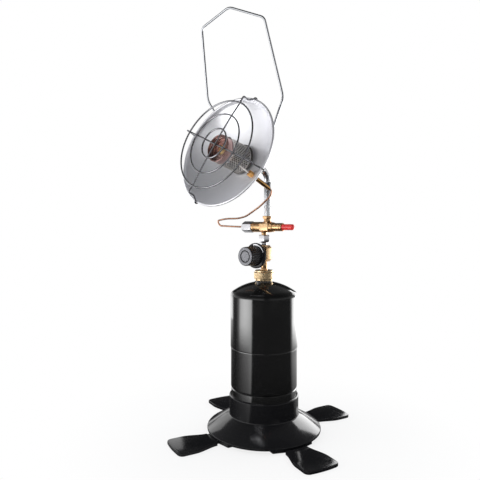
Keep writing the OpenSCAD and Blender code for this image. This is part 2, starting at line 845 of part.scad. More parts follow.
// A tapering arc and index dots on the skirt, showing low to high
module knob_scale() {
    arc_r = (knob_r + 1.2 + knob_skirt_r - 1) / 2;
    arc_from = 20;
    arc_to = 100;
    wide = 1.2;
    narrow = 0.3;
    outer = [
        for (i = [0:12]) let (t = i / 12, a = arc_from + (arc_to - arc_from) * t)
            (arc_r + narrow + (wide - narrow) * t) * [cos(a), sin(a)]
    ];
    inner = [
        for (i = [12:-1:0]) let (t = i / 12, a = arc_from + (arc_to - arc_from) * t)
            (arc_r - narrow - (wide - narrow) * t) * [cos(a), sin(a)]
    ];
    color([0.9, 0.9, 0.92])
    knob_place() translate([0, 0, knob_back + knob_skirt_t]) {
        linear_extrude(height = mark_t) polygon(concat(outer, inner));
        for (a = [130, 160, 190])
            rotate([0, 0, a]) translate([arc_r, 0, 0]) cylinder(r = 0.7, h = mark_t, $fn = 20);
    }
}

module knob_set_screw() {
    color([0.5, 0.5, 0.52])
    knob_place()
        rotate([90, 0, 0])
            translate([0, knob_back + knob_skirt_t + 6, spindle_r + 0.1])
                difference() {
                    cylinder(r = 1.5, h = 5);
                    translate([0, 0, 3.6]) cylinder(r = 0.8, h = 2, $fn = 6);
                }
}

module outlet_neck() {
    color([0.74, 0.75, 0.76])
    translate([0, 0, block_top_z])
    difference() {
        union() {
            cylinder(r = 4.8, h = outlet_neck_h);
            translate([0, 0, outlet_neck_h]) cylinder(r = 3.6, h = union_h - 1);
        }
        translate([0, 0, -1]) cylinder(r = passage_r, h = union_h + outlet_neck_h + 2);
    }
}

module union_nut() {
    color([0.74, 0.75, 0.76])
    translate([0, 0, union_z])
    difference() {
        rotate([0, 0, -51]) hex_bar(union_af, union_h, 1.8);
        translate([0, 0, -1]) cylinder(r = 3.6 + eps, h = union_h + 2);
    }
}

// ---- safety valve --------------------------------------------------------------

module safety_valve_body() {
    color([0.80, 0.62, 0.32])
    difference() {
        union() {
            safety_place() {
                translate([0, 0, -safety_left]) cylinder(r = safety_r, h = safety_left + safety_right - 4);
                translate([0, 0, safety_right - 4]) cylinder(r1 = safety_r - 0.5, r2 = safety_r - 0.8, h = 4);
                cylinder(r = housing_r, h = housing_x - 0.6);
                translate([0, 0, housing_x - 0.6]) cylinder(r1 = housing_r, r2 = housing_r - 0.5, h = 0.6);
            }
            translate([pad_x, -safety_r - pad_out, safety_z - pad_half_h])
                cube([pad_w, safety_r + pad_out, 2 * pad_half_h]);
            translate([0, 0, union_top_z]) cylinder(r = 3.7, h = inlet_boss_len + 2);
            translate([outlet_x, 0, safety_z]) cylinder(r = outlet_boss_r, h = outlet_z - safety_z);
        }
        safety_place() {
            translate([0, 0, -safety_left - 1]) cylinder(r = magnet_bore_r, h = safety_left + 1 + guide_x);
            cylinder(r = guide_bore_r, h = housing_x);
            translate([0, 0, chamber_x]) cylinder(r = chamber_bore_r, h = housing_x);
        }
        translate([0, 0, union_top_z - 1]) cylinder(r = passage_r, h = inlet_boss_len + safety_r);
        translate([outlet_x, 0, safety_z]) cylinder(r = passage_r, h = outlet_z - safety_z - 3.1);
        translate([outlet_x, 0, tube_z]) cylinder(r = tube_r + eps, h = 10);
    }
}

module magnet_unit() {
    color([0.55, 0.55, 0.57])
    safety_place() {
        translate([0, 0, -safety_left + 1.5]) cylinder(r = magnet_bore_r - 0.1, h = 13);
        translate([0, 0, -safety_left + 14.5]) cylinder(r = 1, h = 3);
    }
}

module valve_disc() {
    color([0.10, 0.10, 0.10])
    safety_place() translate([0, 0, -safety_left + 17.5]) cylinder(r = magnet_bore_r - 0.6, h = 2);
}

module safety_plunger() {
    color([0.72, 0.72, 0.74])
    safety_place() translate([0, 0, button_travel + 0.4]) cylinder(r = plunger_r, h = button_x + 5 - button_travel);
}

// The return spring between the guide and the button
module safety_spring() {
    steps = 12;
    first_x = chamber_x + spring_wire_r;
    last_x = button_x - spring_wire_r;
    route = [
        for (i = [0:spring_turns * steps])
            let (t = i / (spring_turns * steps), a = 360 * spring_turns * t)
            [spring_r * cos(a), spring_r * sin(a), first_x + (last_x - first_x) * t]
    ];
    color([0.75, 0.76, 0.78])
    safety_place() wire(route, spring_wire_r, 8);
}

module safety_button() {
    tip_r = 3;
    length = button_base + button_out;
    color([0.80, 0.08, 0.07])
    safety_place() translate([0, 0, button_x])
    difference() {
        rotate_extrude()
            polygon(concat(
                [[0, 0], [button_r, 0]],
                arc_points(button_r - tip_r, length - tip_r, tip_r, 0, 90, 6),
                [[0, length]]
            ));
        translate([0, 0, -1]) cylinder(r = plunger_r + eps, h = 6.6);
    }
}

module thermocouple_nut() {
    spigot = 1.4;
    color([0.72, 0.73, 0.75])
    safety_place()
    difference() {
        union() {
            translate([0, 0, tc_hex_x]) hex_bar(tc_nut_af, tc_nut_len, 1.4);
            translate([0, 0, tc_tip_x]) cylinder(r1 = 2.2, r2 = tc_nut_af / 2 - 0.6, h = tc_cone_len);
            translate([0, 0, -safety_left]) cylinder(r = magnet_bore_r - eps, h = spigot);
        }
        translate([0, 0, tc_tip_x - 1]) cylinder(r = lead_r + eps, h = tc_cone_len + 6);
    }
}

// ---- thermocouple ----------------------------------------------------------------

module thermocouple_lead() {
    clock = [sin(probe_clock), cos(probe_clock)];
    out = [
        sin(probe_lean) * clock[0],
        -cos(probe_lean) * dish_dir[1] + sin(probe_lean) * clock[1] * sin(dish_tilt),
        -cos(probe_lean) * dish_dir[2] + sin(probe_lean) * clock[1] * cos(dish_tilt)
    ];
    bowl_centre = dish_at + (bowl_r - dish_depth) * dish_dir;
    start = [tc_tip_x + 5, 0, safety_z];
    sleeve_end = bowl_centre + (bowl_r + probe_out) * out;
    route = concat([start], lead_route, [sleeve_end + 5 * out, sleeve_end - 4 * out]);
    bends = [for (i = [1:len(route) - 2]) lead_bend_r];
    color([0.66, 0.42, 0.30])
    wire(rounded_path(route, bends, 4), lead_r, 8);
}

module thermocouple_sleeve() {
    color([0.80, 0.55, 0.28])
    probe_place()
    difference() {
        union() {
            translate([0, 0, -6]) cylinder(r = sleeve_r, h = probe_out - 4);
            translate([0, 0, probe_out - 10]) cylinder(r1 = sleeve_r, r2 = lead_r + 0.7, h = 10);
        }
        translate([0, 0, -7]) cylinder(r = probe_rod_r + eps, h = 11);
        translate([0, 0, probe_out - 8]) cylinder(r = lead_r + eps, h = 9);
    }
}

module sleeve_washer() {
    color([0.06, 0.06, 0.06])
    probe_place() translate([0, 0, dish_t + 0.1]) ring(sleeve_r + 2.2, sleeve_hole_r, 2.2);
}

module sleeve_nut() {
    color([0.80, 0.62, 0.32])
    probe_place() translate([0, 0, -7.1]) hex_nut(7.4, 6.4, 0.8, sleeve_hole_r);
}

module thermocouple_probe() {
    color([0.74, 0.73, 0.70])
    probe_place()
        translate([0, 0, -probe_in]) {
            cylinder(r = probe_rod_r, h = probe_in + 2);
            sphere(r = probe_rod_r, $fn = 24);
        }
}

// ---- burner tube -------------------------------------------------------------------

module tube_lock_nut() {
    color([0.78, 0.60, 0.30])
    translate([outlet_x, 0, outlet_z + 0.05]) hex_nut(lock_af, lock_h, 1, tube_r + eps);
}

module injector_jet() {
    color([0.80, 0.62, 0.32])
    translate([outlet_x, 0, tube_z])
    difference() {
        union() {
            cylinder(r = tube_bore_r - eps, h = 6);
            translate([0, 0, 6]) cylinder(r1 = tube_bore_r - eps, r2 = 1.2, h = 4);
        }
        translate([0, 0, -1]) cylinder(r = 1.4, h = 8);
        cylinder(r = 0.4, h = 12);
    }
}

module burner_tube() {
    straight = corner_z - bend_cut - tube_z;
    color([0.70, 0.71, 0.72]) {
        translate([outlet_x, 0, tube_z])
        difference() {
            ring(tube_r, tube_bore_r, straight + bend_lap);
            for (a = [0, 90])
                translate([0, 0, air_z - tube_z]) rotate([0, 0, a]) rotate([90, 0, 0])
                    cylinder(r = air_hole_r, h = 20, center = true);
        }
        translate([outlet_x, -bend_r, corner_z - bend_cut])
            rotate([90, 0, 90])
                rotate_extrude(angle = bend_turn)
                    translate([bend_r, 0])
                    difference() {
                        circle(r = tube_r - bend_thin);
                        circle(r = tube_bore_r + bend_thin);
                    }
        burner_place() translate([0, 0, bend_cut - tube_reach - bend_lap])
            ring(tube_r, tube_bore_r, tube_reach - bend_cut + tube_end + bend_lap);
    }
}

module dish_back_nut() {
    color([0.72, 0.73, 0.75])
    burner_place() {
        translate([0, 0, hub_back - back_nut_t]) hex_nut(back_nut_af, back_nut_t, 1, tube_r + eps);
        translate([0, 0, hub_back - 1]) ring(hub_r - 1, tube_r + eps, 1);
    }
}

// ---- reflector ------------------------------------------------------------------------

module reflector_dish() {
    centre = bowl_r - dish_depth;
    inner = arc_points(0, centre, bowl_r, -90, -90 + bowl_half_angle, bowl_steps);
    outer = arc_points(0, centre, bowl_r + dish_t, -90 + bowl_half_angle, -90, bowl_steps);
    color([0.80, 0.81, 0.83])
    difference() {
        union() {
            dish_place() {
                rotate_extrude() polygon(concat(inner, outer));
                rotate_extrude() translate([dish_r + dish_t / 2, 0]) circle(r = bead_r, $fn = 32);
            }
            burner_place() translate([0, 0, hub_back]) cylinder(r = hub_r, h = hub_t);
        }
        burner_place() translate([0, 0, -20]) cylinder(r = tube_r + eps, h = 30);
        probe_place() translate([0, 0, -6]) cylinder(r = sleeve_hole_r, h = 12);
    }
}

module burner_spacer() {
    color([0.55, 0.54, 0.53])
    burner_place() translate([0, 0, hub_front]) ring(spacer_r, tube_r + eps, flange_z - hub_front);
}

// ---- burner ------------------------------------------------------------------------------

module burner_back_flange() {
    ribs = 4;
    color([0.25, 0.24, 0.23])
    burner_place()
    difference() {
        union() {
            translate([0, 0, flange_z]) cylinder(r = flange_rim_r, h = flange_plate_t);
            for (k = [0:ribs - 1])
                translate([0, 0, flange_z + flange_plate_t + 1.8 * k])
                    ring(barrel_r - 0.05, barrel_r - burner_wall - 0.5, 0.9);
        }
        translate([0, 0, flange_z - 1]) cylinder(r = tube_r + eps, h = flange_plate_t + 2);
    }
}

module burner_barrel() {
    color([0.45, 0.43, 0.40])
    burner_place() translate([0, 0, barrel_z])
        ring(barrel_r + burner_wall, barrel_r, barrel_len);
}

module burner_head() {
    fold_r = barrel_r - eps;
    color([0.45, 0.30, 0.26])
    burner_place()
        rotate_extrude()
            polygon([
                [head_r - burner_wall, head_back], [fold_r, head_back],
                [fold_r, head_back + head_fold],
                [head_r + head_ease, barrel_end + head_ease - 0.2],
                [head_r, barrel_end + head_taper], [head_r, head_end - head_lip_h],
                [head_r + head_lip_out, head_end - head_lip_h / 2], [head_r, head_end],
                [head_r - burner_wall, head_end]
            ]);
}

// The stepped rings and the gauze disc inside the front cup
module burner_screen() {
    cup_in = head_r - burner_wall - eps;
    color([0.72, 0.52, 0.28])
    burner_place()
        rotate_extrude()
            polygon([
                [0, screen_z], [7, screen_z], [7, screen_z + 1.6], [8, screen_z + 1.6],
                [8, screen_z + 0.6], [11.4, screen_z + 0.6], [11.4, screen_z + 3.4],
                [12.4, screen_z + 3.4], [12.4, screen_z + 1.4], [cup_in, screen_z + 1.4],
                [cup_in, screen_z - 0.4], [8, screen_z - 1.4], [0, screen_z - 1.4]
            ]);
}

module burner_rivets() {
    color([0.80, 0.80, 0.78])
    burner_place()
        for (a = [0:120:240])
            rotate([0, 0, 66 + a])
                translate([barrel_r + burner_wall, 0, rivet_z])
                    rotate([0, 90, 0])
                        cylinder(r1 = rivet_r + 0.5, r2 = rivet_r - 0.3, h = 0.9, $fn = 24);
}

// ---- guard ------------------------------------------------------------------------------------

module guard_ring(r, out) {
    color([0.30, 0.30, 0.31])
    dish_place() translate([0, 0, out])
        rotate_extrude() translate([r, 0]) circle(r = guard_wire_r, $fn = 24);
}
module guard_outer_ring() { guard_ring(guard_outer_r, guard_out); }
module guard_middle_ring() { guard_ring(guard_middle_r, guard_out + guard_dome); }
module guard_inner_ring() { guard_ring(guard_inner_r, guard_out + guard_dome + 0.5); }

// Half of a spoke: distance from the dish's axis and distance in front of the rim
function spoke_half(centre_out) =
    [
        [0, centre_out],
        [guard_inner_r, guard_out + guard_dome + 0.5 - weld],
        [guard_middle_r, guard_out + guard_dome - weld],
        [guard_outer_r, guard_out - weld],
        [guard_outer_r + 10, guard_out - weld + 0.6],
        [dish_r - 5, 9.5],
        for (a = [95, 40, -15, -70]) [dish_r + dish_t / 2 + hook_r * cos(a), hook_r * sin(a)]
    ];
function spoke_points(centre_out) =
    let (half = spoke_half(centre_out), last = len(half) - 1)
    concat(
        [for (i = [last:-1:0]) [0, -half[i][0], half[i][1]]],
        [for (i = [1:last]) [0, half[i][0], half[i][1]]]
    );

module guard_spoke(clock, centre_out) {
    route = spoke_points(centre_out);
    bends = [for (i = [1:len(route) - 2]) abs(route[i][1]) > guard_outer_r + 1 ? 2.4 : 6];
    color([0.34, 0.34, 0.35])
    dish_place() rotate([0, 0, -clock]) wire(rounded_path(route, bends, 3), guard_wire_r, 8);
}
module guard_spoke_1() { guard_spoke(spoke_clock, guard_out + guard_dome + 0.5 - weld); }
module guard_spoke_2() { guard_spoke(spoke_clock + 90, guard_out + guard_dome + 0.5 - 2 * weld); }

// ---- bail handle ---------------------------------------------------------------------------------

module bail_bracket() {
    plate_y = -clamp_r - ear_t / 2;
    color([0.60, 0.61, 0.62])
    translate(bail_at) rotate([90 - burner_tilt, 0, 0])
    difference() {
        union() {
            translate([0, 0, -clamp_w / 2]) cylinder(r = clamp_r, h = clamp_w);
            translate([-ear_in - ear_t, plate_y, -clamp_w / 2])
                cube([2 * (ear_in + ear_t), ear_t, clamp_w]);
            for (side = [-1, 1])
                translate([side > 0 ? ear_in : -ear_in - ear_t, 0, 0]) {
                    rotate([0, 90, 0]) cylinder(r = clamp_w / 2, h = ear_t);
                    translate([0, plate_y, -clamp_w / 2]) cube([ear_t, -plate_y, clamp_w]);
                }
        }
        translate([0, 0, -clamp_w]) cylinder(r = tube_r + eps, h = 2 * clamp_w);
        for (side = [-1, 1])
            translate([side > 0 ? ear_in - 1 : -ear_in - ear_t - 1, 0, 0])
                rotate([0, 90, 0]) cylinder(r = ear_hole_r, h = ear_t + 2);
    }
}

module bail_handle() {
    wide_l = turned([-bail_wide_half_w, bail_wide_h], -bail_lean);
    shoulder_l = turned([-bail_shoulder_half_w, bail_shoulder_h], -bail_lean);
    peak = turned([0, bail_peak_h], -bail_lean);
    shoulder_r = turned([bail_shoulder_half_w, bail_shoulder_h], -bail_lean);
    wide_r = turned([bail_wide_half_w, bail_wide_h], -bail_lean);
    flat = [
        [-bail_foot_half_w, 0], wide_l, shoulder_l, peak, shoulder_r, wide_r, [bail_foot_half_w, 0]
    ];
    route = [
        [-bail_stub_in - 1.6, 0, 0],
        for (p = flat) [p[0], 0, p[1]],
        [bail_stub_in + 1.6, 0, 0]
    ];
    bends = [3.2, 7, 6, 6, 5, 7, 3.2];
    color([0.68, 0.69, 0.70])
    translate(bail_at) rotate([bail_tilt, 0, 0]) {
        wire(rounded_path(route, bends, 6), bail_wire_r, 10);
        for (side = [-1, 1])
            translate([side > 0 ? bail_stub_in : -bail_foot_half_w + 1, 0, 0])
                rotate([0, 90, 0]) cylinder(r = bail_wire_r, h = bail_foot_half_w - 1 - bail_stub_in);
    }
}

// ---- output --------------------------------------------------------------------------------------

base_cup();
leg(0);  // leg_1
leg(1);  // leg_2
leg(2);  // leg_3
leg(3);  // leg_4
cylinder_foot_ring();
cylinder_lower_shell();
cylinder_upper_shell();
cylinder_neck();
cylinder_valve_core();
relief_valve();
coupling_nut();
coupling_seal();
inlet_stem();
inlet_filter();
valve_body();
gland_nut();
spindle();
spindle_o_ring();
control_knob();
knob_ring();
knob_cap();
knob_scale();
knob_set_screw();
outlet_neck();
union_nut();
safety_valve_body();
magnet_unit();
valve_disc();
safety_plunger();
safety_spring();
safety_button();
thermocouple_nut();
thermocouple_lead();
thermocouple_sleeve();
sleeve_washer();
sleeve_nut();
thermocouple_probe();
tube_lock_nut();
injector_jet();
burner_tube();
dish_back_nut();
reflector_dish();
burner_spacer();
burner_back_flange();
burner_barrel();
burner_head();
burner_screen();
burner_rivets();
guard_outer_ring();
guard_middle_ring();
guard_inner_ring();
guard_spoke_1();
guard_spoke_2();
bail_bracket();
bail_handle();
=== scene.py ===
"""Portable propane heater: the finished look of each piece, round its packed frame.

Frame: metres, +Z up, origin on the floor under the fuel cylinder, dish and knob facing -Y.
Pieces are drawn in millimetres and scaled once, when their mesh is made.
"""

from math import asin, atan2, ceil, cos, pi, radians, sin, sqrt

import bmesh
import bpy
from mathutils import Matrix, Quaternion, Vector


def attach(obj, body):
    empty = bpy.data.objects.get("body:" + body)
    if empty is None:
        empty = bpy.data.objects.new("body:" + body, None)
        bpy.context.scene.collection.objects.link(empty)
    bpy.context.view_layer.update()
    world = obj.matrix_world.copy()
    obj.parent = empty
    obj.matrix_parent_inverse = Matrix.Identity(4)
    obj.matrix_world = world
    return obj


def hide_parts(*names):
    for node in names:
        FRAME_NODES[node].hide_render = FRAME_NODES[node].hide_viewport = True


bl_info = {
    "name": "Portable Propane Heater",
    "version": (1, 0, 0),
    "blender": (4, 5, 0),
    "location": "3D View > Sidebar > Heater",
    "description": "Builds the visible pieces of a portable propane heater round its frame",
    "category": "Object",
}

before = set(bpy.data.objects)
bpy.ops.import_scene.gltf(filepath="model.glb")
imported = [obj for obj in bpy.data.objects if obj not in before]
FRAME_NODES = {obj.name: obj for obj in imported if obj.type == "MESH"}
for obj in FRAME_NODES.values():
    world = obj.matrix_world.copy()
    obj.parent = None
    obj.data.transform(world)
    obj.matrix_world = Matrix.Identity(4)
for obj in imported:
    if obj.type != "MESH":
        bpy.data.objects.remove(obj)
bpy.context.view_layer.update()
MM = 0.001

# ---- sizes in millimetres and degrees, most of them shared with the frame ----
# In a name R is a radius, Z a level, H a height, T a thickness and W a width

# Base cup and its leg sockets
LEG_TURN = -20
SKIRT_R, SKIRT_Z, LIP_Z, CONE_Z, COLLAR_Z = 83.5, 4.8, 8.4, 25.6, 55.1
SKIRT_WALL, CUP_R, COLLAR_R, SEAT_Z = 2.4, 48.08, 50.88, 21.2
SOCKET_R, TONGUE_R, SOCKET_HALF_W, SOCKET_LOW, SOCKET_TOP = 51.5, 53.5, 32, 0.8, 17.4
# A socket's T-shaped slot, and the flats and slopes that shape its outer end
SLOT_HALF_W, SLOT_WIDE_HALF_W, SLOT_Z, SLOT_TOP, SLOT_GAP = 13.3, 16.3, 1.9, 4.7, 0.3
SOCKET_FACE, SOCKET_FACE_TURN, SOCKET_CREST, SOCKET_SLOPE = 81.8, 15.5, 16.6, 0.345
SOCKET_SIDE_R, SOCKET_SIDE_CREST, SOCKET_SIDE_SLOPE, SOCKET_SIDE_FALL = 60.6, 14.6, 0.29, 0.2

# Fuel cylinder
FOOT_R, FOOT_Z, FOOT_TOP_Z, FOOT_WALL = 48, 21.3, 65.2, 1.2
BELLY_IN, BELLY_RISE, BELLY_H, BELLY_POWER = 1.5, 30, 24, 2.2
CAN_R, CAN_UPPER_R, CAN_WALL, SEAM_Z, DOME_Z = 48.6, 49.2, 0.9, 124.9, 200.2
DOME_H, KNUCKLE_R, APEX_Z, NECK_R, NECK_H, NECK_BORE, PORT_R = 21, 8, 221.2, 12.7, 10, 7.8, 4.2
RELIEF_R, RELIEF_AT, RELIEF_TURN = 2.9, 19, -75

# Coupling nut, inlet stem, outlet neck and knob
NUT_Z, NUT_H, NUT_R, NUT_END_R, NUT_SHOULDER, KNURL_IN = 221.9, 15.6, 15, 13.6, 12.5, 3.6
STEM_R, BORE_R, BLOCK_Z, KNOB_Z = 5, 1.6, 249.8, 259.2
PIN_Z, PIN_R, STEM_FLANGE_Z, STEM_FLANGE_R, STEM_FLANGE_T = 227.1, 2.6, 232, 11.5, 2.4
OUTLET_NECK_Z, OUTLET_NECK_R = 273.9, 4.8
KNOB_BACK, KNOB_R, KNOB_LEN, KNOB_SKIRT_R, KNOB_SKIRT_T = 17.2, 13.4, 22, 18.4, 3.4

# Safety valve, its button and the outlet to the tube
UNION_Z, UNION_TOP_Z, SAFETY_Z = 278, 288.9, 300.3
SAFETY_R, SAFETY_LEFT, SAFETY_RIGHT, HOUSING_R, HOUSING_X = 7.6, 20, 18, 5.9, 34.6
BUTTON_X, BUTTON_R, BUTTON_LEN, BUTTON_ROUND, PLUNGER_R = 29.6, 4.3, 23.6, 3, 1.86
OUTLET_X, OUTLET_Z, TUBE_SEAT_R = 6, 312.5, 4.86

# Dish and burner
BURNER_AT, BURNER_TILT = Vector((6, -54.457, 392.473)), 12.6
DISH_TILT, DISH_DROP, DISH_SETBACK = 19.4, 3.5, 2.3
DISH_R, DISH_DEPTH, DISH_T, BEAD_R = 76, 37, 0.8, 1.6
BOWL_R = (DISH_R**2 + DISH_DEPTH**2) / (2 * DISH_DEPTH)
HUB_R, HUB_BACK, HUB_FRONT, SPACER_R, FLANGE_Z = 11, -3.6, -0.9, 9, 2.2
BARREL_R, BARREL_Z, BARREL_LEN, HEAD_R, HEAD_OUT, HEAD_WALL = 18.5, 4.6, 36, 17.6, 10, 0.7
HEAD_IN, RIVETS, RIVET_IN = 5, (66, 186, 306), 2.5
LATTICE_LIFT, LATTICE_T, LATTICE_HOLE, LATTICE_LOW, LATTICE_HIGH = 0.15, 0.45, 0.82, 1.6, 0.9

# Thermocouple: its place in the dish, how far it goes out and in, and its lead
PROBE_R, PROBE_CLOCK, PROBE_OUT, PROBE_IN, PROBE_ROD_R, SLEEVE_R = 39.5, 129, 29, 25, 1.3, 2.6
LEAD_R, LEAD_START_X, LEAD_BEND = 1.35, -39, 9
LEAD_ROUTE = (
    (-66, 0, 301), (-88, -2, 302), (-92, -3, 310), (-72, -4, 313), (-44, -8, 313),
    (-24, -13, 316), (-8, -18, 322), (8, -21, 329), (22, -25, 336.5), (37, -32, 343),
)

# Guard
GUARD_WIRE_R, GUARD_OUT, GUARD_DOME, SPOKE_CLOCK = 1.1, 21.6, 1.6, 24
GUARD_RINGS = (61, 41.3, 20.5)
GUARD_OUTS = (GUARD_OUT, GUARD_OUT + GUARD_DOME, GUARD_OUT + GUARD_DOME + 0.5)
WELD_IN = 2 * GUARD_WIRE_R + 0.05

# Bail, and the three places where its wire turns
BAIL_WIRE_R, BAIL_TILT, BAIL_LEAN, BAIL_BACK = 1.5, 22.6, 7, 24.2
BAIL_WIDE, BAIL_SHOULDER, BAIL_PEAK = (64.3, 91.5), (51.2, 186), (0, 204.5)
# The wire is this much thinner than in the frame, so that it stays inside the frame's box
BAIL_SLIM = 0.04

# Steps round the large, the middle and the small turned shapes
LARGE, MIDDLE, SMALL = 160, 96, 64


def toward(tilt):
    """The direction out of the dish or the burner, tilted up from -Y."""
    return Vector((0, -cos(radians(tilt)), sin(radians(tilt))))


def turned(angle, axis="Z"):
    return Matrix.Rotation(radians(angle), 4, axis)


def shifted(x, y, z):
    return Matrix.Translation((x, y, z))


def place(at, tilt):
    """The place whose +Z points that way."""
    return shifted(*at) @ turned(90 - tilt, "X")


DISH_AT = (
    BURNER_AT - DISH_SETBACK * toward(BURNER_TILT) + DISH_DEPTH * toward(DISH_TILT)
    + DISH_DROP * toward(DISH_TILT - 90)
)
UPRIGHT = Matrix.Identity(4)
KNOB = place((0, 0, KNOB_Z), 0)
SAFETY = shifted(0, 0, SAFETY_Z) @ turned(90, "Y")
BURNER = place(BURNER_AT, BURNER_TILT)
DISH = place(DISH_AT, DISH_TILT)
PROBE = (
    DISH @ shifted(0, 0, BOWL_R - DISH_DEPTH) @ turned(-PROBE_CLOCK)
    @ Matrix.Rotation(radians(180) + asin(PROBE_R / BOWL_R), 4, "X") @ shifted(0, 0, BOWL_R)
)
BAIL = place(BURNER_AT - BAIL_BACK * toward(BURNER_TILT), 90 - BAIL_TILT)


# ---- settings ----


def length(name, description, default):
    """A length setting, given in millimetres."""
    return bpy.props.FloatProperty(
        name=name, description=description, default=default * MM, unit="LENGTH", precision=5
    )


def number(name, description, default, low, high):
    return bpy.props.IntProperty(
        name=name, description=description, default=default, min=low, max=high
    )


def colour(name, description, default):
    return bpy.props.FloatVectorProperty(
        name=name, description=description, default=default, subtype="COLOR", size=3, min=0, max=1
    )


def share(name, description, default):
    return bpy.props.FloatProperty(
        name=name, description=description, default=default, subtype="FACTOR", min=0, max=1
    )


class HeaterSizes(bpy.types.PropertyGroup):
    leg_round: length("Leg rounding", "Rounding along the edges of the legs", 1.1)
    knurl_depth: length("Knurl depth", "Depth of the coupling nut's knurling", 0.13)
    flute_depth: length("Flute depth", "Depth of the flutes round the knob", 0.5)
    lead_twist: length("Lead twist", "Length of one turn of the twisted lead", 9)
    weld_size: length("Weld size", "Radius of a weld between two guard wires", 1.45)
    knurl_count: number("Knurls", "Diamonds round the coupling nut", 66, 12, 90)
    barrel_holes: number("Barrel holes", "Holes in one row round the burner barrel", 28, 12, 60)


class HeaterColours(bpy.types.PropertyGroup):
    plastic: colour("Base", "Black of the base and the legs", (0.009, 0.009, 0.010))
    enamel: colour("Enamel", "Black enamel of the fuel cylinder", (0.007, 0.007, 0.007))
    knob: colour("Knob", "Black of the control knob", (0.008, 0.008, 0.009))
    knob_inlay: colour("Knob inlay", "Grey of the knob's ring and cap", (0.20, 0.20, 0.215))
    brass: colour("Brass", "Brass of the valves", (0.71, 0.45, 0.235))
    copper: colour("Copper", "Copper of the thermocouple lead", (0.72, 0.40, 0.26))
    button: colour("Button", "Red of the safety button", (0.84, 0.06, 0.055))
    aluminium: colour("Dish", "Spun aluminium of the reflector", (0.87, 0.87, 0.90))
    heat_tint: colour("Heat tint", "Tint of the hot front cup", (0.52, 0.38, 0.36))
    wear: share("Wear", "How strongly edges and surfaces show use", 0.4)


# ---- mesh helpers ----


def new_faces_out(bm):
    bmesh.ops.recalc_face_normals(bm, faces=bm.faces)
    return bm


def lathe(points, steps=MIDDLE, closed=False, rounding=None):
    """A profile of (radius, height) points spun round +Z; closed joins its last point to its first.

    Rounding is the bevel of its sharp edges, as ease() takes it.
    """
    bm = bmesh.new()
    verts = [bm.verts.new((r, 0, z)) for r, z in points]
    edges = [bm.edges.new(pair) for pair in zip(verts, verts[1:])]
    if closed:
        edges.append(bm.edges.new((verts[-1], verts[0])))
    bmesh.ops.spin(
        bm, geom=verts + edges, cent=(0, 0, 0), axis=(0, 0, 1), angle=2 * pi, steps=steps,
        use_merge=True,
    )
    bmesh.ops.remove_doubles(bm, verts=bm.verts, dist=1e-4)
    bmesh.ops.dissolve_degenerate(bm, edges=bm.edges, dist=1e-4)
    new_faces_out(bm)
    return ease(bm, *rounding) if rounding else bm


def ease(bm, width, segments=2, angle=30):
    """Bevels the edges that are sharper than the angle."""
    sharp = [e for e in bm.edges if len(e.link_faces) == 2 and e.calc_face_angle(0) > radians(angle)]
    if sharp:
        bmesh.ops.bevel(
            bm, geom=sharp, offset=width, offset_type="OFFSET", segments=segments, profile=0.5,
            affect="EDGES", clamp_overlap=True, material=-1,
        )
    return bm


def box(low, high):
    """A block between two corners."""
    bm = bmesh.new()
    bmesh.ops.create_cube(bm, size=1)
    low, high = Vector(low), Vector(high)
    bmesh.ops.scale(bm, vec=high - low, verts=bm.verts)
    bmesh.ops.translate(bm, vec=(low + high) / 2, verts=bm.verts)
    return bm


def picked(geometry, kind):
    return [g for g in geometry if isinstance(g, kind)]


def prism(outline, low, high):
    """A flat outline of (x, y) points, extruded along +Z."""
    bm = bmesh.new()
    face = bm.faces.new([bm.verts.new((x, y, low)) for x, y in outline])
    raised = bmesh.ops.extrude_face_region(bm, geom=[face])["geom"]
    bmesh.ops.translate(bm, vec=(0, 0, high - low), verts=picked(raised, bmesh.types.BMVert))
    return new_faces_out(bm)


def moved(bm, matrix):
    bmesh.ops.transform(bm, matrix=matrix, verts=bm.verts)
    return bm


def joined(*parts):
    """Several shapes in one mesh."""
    whole = bmesh.new()
    for part in parts:
        held = bpy.data.meshes.new("part")
        part.to_mesh(held)
        part.free()
        whole.from_mesh(held)
        bpy.data.meshes.remove(held)
    return whole


def cut(bm, point, normal):
    """Takes off what lies beyond a plane and closes the cut."""
    out = bmesh.ops.bisect_plane(
        bm, geom=bm.verts[:] + bm.edges[:] + bm.faces[:], dist=1e-4, plane_co=point,
        plane_no=normal, clear_outer=True,
    )
    rim = picked(out["geom_cut"], bmesh.types.BMEdge)
    if rim:
        bmesh.ops.edgenet_fill(bm, edges=rim, mat_nr=0)
    new_faces_out(bm)


def eased_path(points, cuts, steps=6):
    """A path whose corners are curves that start at most cut away from each corner."""
    points = [Vector(p) for p in points]
    path = [points[0]]
    for i, cut_back in enumerate(cuts, 1):
        a, p, b = points[i - 1] - points[i], points[i], points[i + 1] - points[i]
        cut_back = min(cut_back, a.length * 0.45, b.length * 0.45)
        start, end = p + a.normalized() * cut_back, p + b.normalized() * cut_back
        for k in range(steps + 1):
            t = k / steps
            path.append((1 - t) ** 2 * start + 2 * t * (1 - t) * p + t * t * end)
    return path + [points[-1]]


def spaced(path, step):
    """The same path with points at most a step apart."""
    out = [path[0]]
    for a, b in zip(path, path[1:]):
        n = max(1, ceil((b - a).length / step))
        out += [a + (b - a) * (k / n) for k in range(1, n + 1)]
    return out


def run_of(path):
    return sum((b - a).length for a, b in zip(path, path[1:]))


